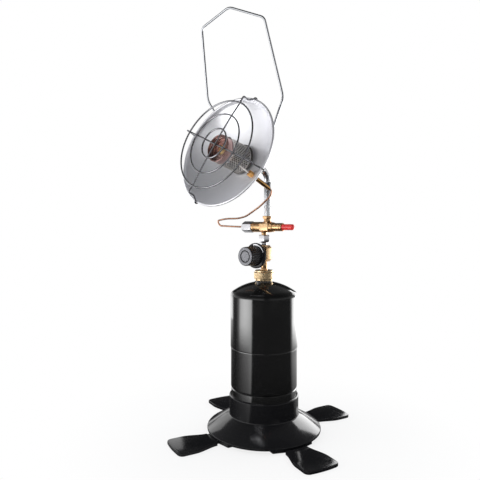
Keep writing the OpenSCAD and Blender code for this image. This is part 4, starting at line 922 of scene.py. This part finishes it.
def build_thermocouple(scene):
    seat, out = PROBE.translation, (PROBE.to_3x3() @ Vector((0, 0, 1))).normalized()
    route = [Vector((LEAD_START_X, 0, SAFETY_Z)), *LEAD_ROUTE, seat + (PROBE_OUT + 5) * out,
             seat + (PROBE_OUT - 4) * out]
    path = spaced(eased_path(route, [LEAD_BEND] * (len(route) - 2), 8), 0.8)
    turns = run_of(path) / (scene.heater_sizes.lead_twist / MM)
    lead = swept(path, LEAD_R, 14, turns, 3, 0.05)
    new_piece("lead_laid", lead, "copper", "thermocouple_lead", smooth=60)

    r, end, rod_r = SLEEVE_R, PROBE_OUT + 1, PROBE_ROD_R
    sleeve = lathe([
        (rod_r + 0.05, -6), (r, -6), (r, 3.2), (r + 0.35, 3.6), (r + 0.35, end - 10),
        (r + 0.15, end - 9.2), (r - 0.3, end), (rod_r, end), (rod_r, end - 9),
        (rod_r + 0.05, end - 9),
    ], 48, True, (0.15,))
    new_piece("sleeve_turned", sleeve, "sleeve_brass", "thermocouple_sleeve", PROBE)
    new_piece("sleeve_nut_turned", frame_copy("sleeve_nut", 0.2), "sleeve_brass", "sleeve_nut")
    washer = lathe([(2.7, 0.9), (4.8, 0.9), (4.8, 3.1), (2.7, 3.1)], 48, True, (0.4, 3))
    new_piece("washer", washer, "seal_rubber", "sleeve_washer", PROBE)
    tip = [(rod_r * cos(a), -PROBE_IN - rod_r * sin(a)) for a in
           [radians(9 * i) for i in range(11)]]
    rod = lathe([(0, 2), (rod_r, 2), *tip], 32)
    new_piece("probe_rod", rod, "probe_steel", "thermocouple_probe", PROBE)


# ---- burner tube and dish ----


def build_tube(scene):
    new_piece("tube_bent", frame_copy("burner_tube", dissolve=0), "tube_zinc", "burner_tube")
    new_piece("bail_strap", frame_copy("bail_bracket", 0.35), "tube_zinc", "bail_bracket")


def bowl(radius, steps=30):
    """Points of the dish's bowl outside its hole, from the middle to the rim."""
    half = asin(DISH_R / BOWL_R)
    turns = [half * i / steps for i in range(steps + 1)]
    points = [(radius * sin(t), BOWL_R - DISH_DEPTH - radius * cos(t)) for t in turns]
    return [p for p in points if p[0] > TUBE_SEAT_R]


def build_dish(scene):
    inner, outer, hole = bowl(BOWL_R), bowl(BOWL_R + DISH_T), TUBE_SEAT_R
    middle = DISH_R + DISH_T / 2
    bead = [(middle + BEAD_R * cos(radians(a)), BEAD_R * sin(radians(a)))
            for a in range(170, -161, -15)]
    dish = lathe([
        (hole, inner[0][1]), *inner[:-1], *bead, *outer[-2::-1], (hole, outer[0][1]),
    ], 192, True)
    new_piece("dish_bowl", dish, "dish_aluminium", "reflector_dish", DISH, 40)
    hub = lathe([(hole, HUB_BACK), (HUB_R, HUB_BACK), (HUB_R, HUB_FRONT), (hole, HUB_FRONT)],
                MIDDLE, True, (0.3,))
    new_piece("dish_hub", hub, "dish_aluminium", at=BURNER)


# ---- burner ----


def lattice(front, holes):
    """The barrel: plain bands at both ends and a lattice of diamond holes between them."""
    count, radius = 2 * holes, BARREL_R + LATTICE_LIFT
    pitch = 2 * pi * radius / count
    low, high = BARREL_Z + LATTICE_LOW, front - LATTICE_HIGH
    rows = 2 * round((high - low) / pitch / 2)
    sheet = lathe([(radius, low + (high - low) * i / rows) for i in range(rows + 1)], count)
    centres = []
    for v in sheet.verts:
        column = round(atan2(v.co.y, v.co.x) / (2 * pi) * count)
        row = round((v.co.z - low) / (high - low) * rows)
        if (column + row) % 2 == 0 and 0 < row < rows:
            centres.append(v)
    opened = bmesh.ops.bevel(
        sheet, geom=centres, offset=LATTICE_HOLE * pitch, offset_type="OFFSET", segments=1,
        profile=0.5, affect="VERTICES", clamp_overlap=False, material=-1,
    )["faces"]
    bmesh.ops.delete(sheet, geom=opened, context="FACES")
    ends = ((BARREL_Z, low), (high, front))
    sheet = joined(sheet, *[lathe([(radius, a), (radius, b)], count) for a, b in ends])
    bmesh.ops.remove_doubles(sheet, verts=sheet.verts, dist=0.02)
    new_faces_out(sheet)
    bmesh.ops.solidify(sheet, geom=sheet.faces[:], thickness=-LATTICE_T)
    return new_faces_out(sheet)


def build_burner(scene):
    front, hole, z, r = BARREL_Z + BARREL_LEN, TUBE_SEAT_R, FLANGE_Z, BARREL_R
    flange = lathe([
        (hole, z), (r + 1.6, z), (r + 2.2, z + 0.6), (r + 2.2, 4.2), (r + 1.7, BARREL_Z),
        (hole, BARREL_Z),
    ], 128, True, (0.2,))
    new_piece("burner_flange", flange, "burner_dark", "burner_back_flange", BURNER)
    spacer = lathe([(hole, HUB_FRONT), (SPACER_R, HUB_FRONT), (SPACER_R, z), (hole, z)], SMALL, True)
    new_piece("burner_spacer_ring", spacer, "burner_dark", "burner_spacer", BURNER)
    new_piece("burner_mesh", lattice(front, scene.heater_sizes.barrel_holes), "burner_steel",
              "burner_barrel", BURNER, 30)
    # A dark cylinder where the barrel is hollow: painted shade, so that the lattice holes look dark
    core_r, low, high = 16.2, BARREL_Z + 0.3, front - 5.4
    core = lathe([(0, low), (core_r, low), (core_r, high), (0, high)], rounding=(0.6,))
    new_piece("burner_shade_core", core, "shade_black", at=BURNER)

    end, back, h, fold = front + HEAD_OUT, front - HEAD_IN, HEAD_R, BARREL_R - 0.05
    w = h - HEAD_WALL
    cup = lathe([
        (w, back), (fold, back), (fold, back + 4), (BARREL_R - 0.1, front + 0.1),
        (h + 0.5, front + 0.6), (h, front + 2), (h, end - 3.4), (h + 0.15, end - 3),
        (h + 0.15, end - 2.4), (h, end - 2), (h + 0.3, end - 1.4), (h + 0.85, end - 1.0),
        (h + 0.9, end - 0.6), (h + 0.6, end - 0.15), (h, end), (h - 0.5, end - 0.2),
        (w, end - 0.8), (w, end - 2.6), (w - 0.5, end - 3.0), (w - 0.5, end - 3.6), (w, end - 4),
        (w, end - 5.6), (w - 0.9, end - 6.2), (w - 0.9, end - 6.8), (w, end - 7.2),
    ], 128, True)
    new_piece("burner_cup", cup, "burner_copper", "burner_head", BURNER, 50)

    z, w = end - 9, w - 0.05
    screen = lathe([
        (0, z + 1.0), (3, z + 0.85), (6.6, z + 0.2), (7, z + 1.6), (8, z + 1.6), (8.2, z + 0.6),
        (11.2, z + 0.6), (11.5, z + 3.4), (12.4, z + 3.4), (12.6, z + 1.4), (14.6, z + 1.4),
        (14.8, z + 2.4), (15.4, z + 2.4), (15.6, z + 1.4), (w, z + 1.4), (w, z - 0.4),
        (8, z - 1.4), (0, z - 1.4),
    ], rounding=(0.15, 2, 40))
    new_piece("burner_gauze", screen, "gauze", "burner_screen", BURNER)
    heads = [
        moved(lathe([(0, 0), (1.9, 0), (1.8, 0.35), (1.3, 0.75), (0.6, 0.9), (0, 0.92)], 24),
              turned(a) @ shifted(BARREL_R + 0.66, 0, front - RIVET_IN) @ turned(90, "Y"))
        for a in RIVETS
    ]
    new_piece("burner_rivet_heads", joined(*heads), "nickel", "burner_rivets", BURNER)


# ---- guard ----


def spoke_route(centre_out):
    outer, middle, inner = GUARD_RINGS
    hook = BEAD_R + GUARD_WIRE_R + 0.4
    out = GUARD_OUT - WELD_IN
    half = [
        (0, centre_out), (inner, out + GUARD_DOME + 0.5), (middle, out + GUARD_DOME),
        (outer, out), (outer + 10, out + 0.6), (DISH_R - 5, 9.5),
    ] + [
        (DISH_R + DISH_T / 2 + hook * cos(radians(a)), hook * sin(radians(a)))
        for a in (95, 40, -15, -70)
    ]
    route = [(0, -r, z) for r, z in reversed(half)] + [(0, r, z) for r, z in half[1:]]
    cuts = [2.4 if abs(p[1]) > outer + 1 else 6 for p in route[1:-1]]
    return eased_path(route, cuts, 5)


def build_guard(scene):
    sides = [2 * pi * k / 16 for k in range(16)]
    for name, radius, out in zip(("outer", "middle", "inner"), GUARD_RINGS, GUARD_OUTS):
        wire = [(radius + GUARD_WIRE_R * cos(a), out + GUARD_WIRE_R * sin(a)) for a in sides]
        new_piece(f"{name}_ring_wire", lathe(wire, LARGE, True), "guard_wire",
                  f"guard_{name}_ring", DISH, 60)
    for k in (0, 1):
        wire = swept(spoke_route(GUARD_OUTS[2] - WELD_IN * (k + 1)), GUARD_WIRE_R)
        new_piece(f"spoke_wire_{k + 1}", wire, "guard_wire", f"guard_spoke_{k + 1}",
                  DISH @ turned(-SPOKE_CLOCK - 90 * k), 60)
    welds = []
    for k in range(4):
        for radius, out in zip(GUARD_RINGS, GUARD_OUTS):
            blob = bmesh.new()
            size = scene.heater_sizes.weld_size / MM
            bmesh.ops.create_icosphere(blob, subdivisions=2, radius=size)
            bmesh.ops.scale(blob, vec=(0.8, 0.8, 1), verts=blob.verts)
            at = turned(-SPOKE_CLOCK - 90 * k) @ shifted(0, radius, out - WELD_IN / 2)
            welds.append(moved(blob, at))
    new_piece("guard_welds", joined(*welds), "guard_wire", at=DISH, smooth=60)


# ---- bail and inner pieces ----


def build_bail(scene):
    lean = radians(-BAIL_LEAN)

    def leaned(point, side=1):
        x, z = point[0] * side, point[1]
        return (x * cos(lean) - z * sin(lean), 0, x * sin(lean) + z * cos(lean))

    route = [
        (-9, 0, 0), (-12, 0, 0), leaned(BAIL_WIDE, -1), leaned(BAIL_SHOULDER, -1),
        leaned(BAIL_PEAK), leaned(BAIL_SHOULDER), leaned(BAIL_WIDE), (12, 0, 0), (9, 0, 0),
    ]
    ends = [[Vector((x, 0, 0))] for x in (-7.4, 7.4)]
    path = ends[0] + eased_path(route, [3.2, 7, 6, 6, 5, 7, 3.2], 8) + ends[1]
    wire = swept(path, BAIL_WIRE_R - BAIL_SLIM, 16)
    new_piece("bail_wire_bent", wire, "bail_wire", "bail_handle", BAIL, 60, "bail")


def build_inner(scene):
    for node, material in (
        ("cylinder_valve_core", "brass"), ("coupling_seal", "seal_rubber"),
        ("inlet_filter", "gauze"), ("spindle", "steel"), ("spindle_o_ring", "seal_rubber"),
        ("magnet_unit", "steel"), ("valve_disc", "seal_rubber"), ("safety_plunger", "steel"),
        ("safety_spring", "steel"), ("injector_jet", "brass"),
    ):
        dress(node, material)


# ---- stage, in metres ----

FACING = 38.8
CAMERA_AT, CAMERA_AIM, CAMERA_LENS = (0.4611, -0.5734, 0.3056), (-0.663, 0.748, -0.033), 501.3 / 480
WHITE = (1, 1, 1, 1)
# Name, turn from the camera, distance, bottom, top, width, radiance, whether only gloss sees it
SOFT_BOXES = (
    ("front_box", -70, 0.9, 0.1, 1.1, 1.1, 2.6, False),
    ("back_box", 130, 0.8, 0.1, 1.0, 0.8, 2.6, False),
    ("side_box", -157, 1.0, 0.1, 1.1, 0.6, 1.2, False),
    ("right_card", 140, 0.476, 0.08, 0.44, 0.24, 5.2, True),
    ("left_card", -140, 0.476, 0.08, 0.32, 0.24, 1.3, True),
    ("fill_box", 10, 1.6, 1.0, 2.2, 1.4, 0.7, False),
)


def heading(turn):
    """A level direction, turned to the right of the camera by an angle."""
    a = radians(FACING + turn)
    return Vector((sin(a), -cos(a), 0))


def aimed(direction):
    return Vector(direction).to_track_quat("-Z", "Y").to_euler()


def soft_box(name, turn, distance, bottom, top, width, radiance, shine):
    """An upright box, facing the heater's axis, that lights it or is only seen in its gloss."""
    lamp = bpy.data.lights.new(name, "AREA")
    lamp.shape = "RECTANGLE"
    lamp.size, lamp.size_y = width, top - bottom
    lamp.energy = radiance * pi * lamp.size * lamp.size_y
    light = bpy.data.objects.new(name, lamp)
    light.location = heading(turn) * distance + Vector((0, 0, (bottom + top) / 2))
    light.rotation_euler = aimed(-heading(turn))
    light.visible_camera = False
    light.visible_diffuse = not shine
    light.visible_glossy = shine
    bpy.context.scene.collection.objects.link(light)
    return light


def build_stage(scene):
    scene.view_settings.view_transform = "Standard"
    lens = bpy.data.cameras.new("camera")
    lens.lens, lens.sensor_width, lens.clip_start = CAMERA_LENS * 36, 36, 0.01
    camera = bpy.data.objects.new("camera", lens)
    camera.location, camera.rotation_euler = CAMERA_AT, aimed(CAMERA_AIM)
    scene.collection.objects.link(camera)
    scene.camera = camera
    for values in SOFT_BOXES:
        light = soft_box(*values)
    # The last one, the fill, looks down at the heater
    light.rotation_euler = aimed(Vector((0, 0, 0.3)) - light.location)
    light_world(scene)
    lay_floor(scene)


def turn_of(tree, vector):
    """A vector's angle round +Z from the camera's side, as 0 to 1 with 0.5 towards the camera."""
    angle = tree.math("ARCTAN2", tree.dot(vector, heading(90)), tree.dot(vector, heading(0)))
    return tree.plus(tree.math("DIVIDE", angle, 2 * pi), 0.5)


def round_ramp(tree, turn, scale, *stops):
    """A level looked up round +Z, along stops in degrees from the camera's side."""
    return tree.ramp(turn, [(angle / 360 + 0.5, level) for angle, level in stops], scale)


def walls(tree, turn):
    """What shiny surfaces see near the horizon, all the way round."""
    return round_ramp(
        tree, turn, 2.0, (-180, 0.9), (-150, 1.3), (-40, 1.2), (-3, 1.0), (2, 0.15), (14, 0.15),
        (24, 0.6), (95, 0.6), (106, 1.2), (150, 1.3), (180, 0.9))


def by_ray(tree, camera, gloss, other):
    """One shader for what the camera sees, one for gloss and one for all other light."""
    path = tree.add("ShaderNodeLightPath").outputs
    shiny = tree.math("MAXIMUM", path["Is Glossy Ray"], path["Is Transmission Ray"])
    unseen = tree.add("ShaderNodeMixShader", {0: shiny, 1: other, 2: gloss}).outputs[0]
    mix = {0: path["Is Camera Ray"], 1: unseen, 2: camera}
    return tree.add("ShaderNodeMixShader", mix).outputs[0]


def glow(tree, kind, strength, colour=WHITE):
    return tree.add(kind, {"Color": colour, "Strength": strength}).outputs[0]


def light_world(scene):
    scene.world = bpy.data.worlds.new("studio")
    scene.world.use_nodes = True
    tree = Tree(scene.world.node_tree)
    tree.tree.nodes.clear()
    # Gloss sees bright walls, and it is dark overhead and behind the heater
    direction = tree.add("ShaderNodeTexCoord").outputs["Generated"]
    height = tree.parts(direction)[2]
    level = tree.times(walls(tree, turn_of(tree, direction)), tree.ramp(height, (
        (0.0, 1.0), (0.17, 1.0), (0.34, 0.4), (0.5, 0.14), (0.8, 0.07), (1.0, 0.05))))
    behind = tree.times(tree.spread(tree.dot(direction, heading(180)), 0.78, 0.86),
                        tree.spread(height, 0.06, 0.14))
    level = tree.times(level, tree.math("SUBTRACT", 1.0, tree.times(behind, 0.97)))
    kind = "ShaderNodeBackground"
    seen = by_ray(tree, glow(tree, kind, 1.0), glow(tree, kind, level),
                  glow(tree, kind, 0.45, (0.92, 0.95, 1.0, 1)))
    tree.add("ShaderNodeOutputWorld", {"Surface": seen})


def lay_floor(scene):
    bm = bmesh.new()
    bmesh.ops.create_grid(bm, x_segments=2, y_segments=2, size=6)
    mesh = bpy.data.meshes.new("floor")
    bm.to_mesh(mesh)
    bm.free()
    floor = bpy.data.objects.new("floor", mesh)
    scene.collection.objects.link(floor)
    material = bpy.data.materials.new("floor")
    material.use_nodes = True
    tree = Tree(material.node_tree)
    tree.tree.nodes.clear()
    # In gloss the floor shows painted light: dark before the heater, pale on its left, with a
    # painted bright box each side
    spot = tree.add("ShaderNodeTexCoord").outputs["Object"]
    far = tree.add("ShaderNodeVectorMath", {0: spot}, operation="LENGTH").outputs["Value"]
    turn = turn_of(tree, spot)
    light_pools = round_ramp(
        tree, turn, 1.2, (-180, 0.9), (-165, 0.6), (-148, 0.15), (-134, 0.1), (-111, 0.03),
        (-93, 0.13), (-80, 0.32), (-67, 0.56), (-56, 0.74), (-42, 1.2), (-38, 0.03), (98, 0.05),
        (112, 0.8), (180, 0.9))
    box_glow = round_ramp(
        tree, turn, 5.0, (-165, 0.4), (-145, 0.8), (-134, 0.7), (-122, 0.05), (-104, 0.05),
        (-94, 0.5), (-83, 2.9), (-69, 3.6), (-57, 3.3), (-47, 2.3), (-42, 1.8), (-38, 0.0),
        (97, 0.0), (104, 0.4), (113, 4.2), (165, 5.0), (175, 0.5))
    near = tree.ramp(far, ((0.0, 0.2), (0.2, 0.4), (0.31, 0.72), (0.42, 1.0)))
    lit = tree.plus(tree.times(light_pools, near), tree.times(box_glow, tree.spread(far, 0.52, 0.85)))
    lit = tree.plus(tree.times(lit, tree.spread(far, 1.8, 3.2, 1.0, 0.0)),
                    tree.times(walls(tree, turn), tree.spread(far, 1.8, 3.2)))
    # The camera sees the floor fade into the white background away from the heater
    paper = tree.add("ShaderNodeBsdfDiffuse", {"Color": (0.82, 0.82, 0.82, 1)}).outputs[0]
    fade = tree.spread(far, 0.10, 0.30, 0.80, 1.0)
    kind = "ShaderNodeEmission"
    faded = tree.add("ShaderNodeMixShader", {0: fade, 1: paper, 2: glow(tree, kind, 1.0)})
    seen = by_ray(tree, faded.outputs[0], glow(tree, kind, lit), paper)
    tree.add("ShaderNodeOutputMaterial", {"Surface": seen})
    mesh.materials.append(material)


# ---- operators ----


def step_operator(name, label, text, build):
    """An operator that does one step of the build with the scene's settings."""

    def execute(self, context):
        build(context.scene)
        return {"FINISHED"}

    return type(
        f"HEATER_OT_{name}", (bpy.types.Operator,),
        {"__doc__": text, "bl_idname": f"heater.{name}", "bl_label": label, "execute": execute},
    )


OPERATORS = [step_operator(*step) for step in (
    ("stage", "Stage", "Set up the camera, the soft boxes and the floor", build_stage),
    ("materials", "Materials", "Make the node groups and every material", make_materials),
    ("base", "Base", "Build the base cup and its leg sockets", build_base),
    ("legs", "Legs", "Build the four paddle legs", build_legs),
    ("cylinder", "Fuel Cylinder", "Build the shells, the neck and the relief valve", build_cylinder),
    ("coupling", "Coupling", "Build the knurled nut and the stem", build_coupling),
    ("valve", "Regulating Valve", "Build the valve block, its nuts and its neck", build_valve),
    ("knob", "Knob", "Build the fluted knob and its inlays", build_knob),
    ("safety", "Safety Valve", "Build the safety valve and its red button", build_safety_valve),
    ("thermocouple", "Thermocouple", "Build the lead, the sleeve and the probe", build_thermocouple),
    ("tube", "Burner Tube", "Build the bent tube and the bail's strap", build_tube),
    ("dish", "Reflector", "Build the reflector dish", build_dish),
    ("burner", "Burner", "Build the perforated burner and its front cup", build_burner),
    ("guard", "Guard", "Build the rings, the spokes and the welds of the guard", build_guard),
    ("bail", "Bail", "Build the bail handle", build_bail),
    ("inner", "Inner Pieces", "Finish the pieces inside the valves", build_inner),
)]


class HEATER_PT_panel(bpy.types.Panel):
    """Lists the steps that build the heater, and its settings"""

    bl_idname = "HEATER_PT_panel"
    bl_label = "Portable Propane Heater"
    bl_space_type = "VIEW_3D"
    bl_region_type = "UI"
    bl_category = "Heater"

    def draw(self, context):
        column = self.layout.column(align=True)
        for operator in OPERATORS:
            column.operator(operator.bl_idname)
        for settings in (context.scene.heater_sizes, context.scene.heater_colours):
            rows = self.layout.box()
            for name in settings.__annotations__:
                rows.prop(settings, name)


CLASSES = [HeaterSizes, HeaterColours, *OPERATORS, HEATER_PT_panel]


def register():
    for each in CLASSES:
        bpy.utils.register_class(each)
    bpy.types.Scene.heater_sizes = bpy.props.PointerProperty(type=HeaterSizes)
    bpy.types.Scene.heater_colours = bpy.props.PointerProperty(type=HeaterColours)


def unregister():
    del bpy.types.Scene.heater_colours
    del bpy.types.Scene.heater_sizes
    for each in reversed(CLASSES):
        bpy.utils.unregister_class(each)


def main():
    register()
    for operator in OPERATORS:
        section, name = operator.bl_idname.split(".")
        getattr(getattr(bpy.ops, section), name)()


if __name__ == "__main__":
    main()
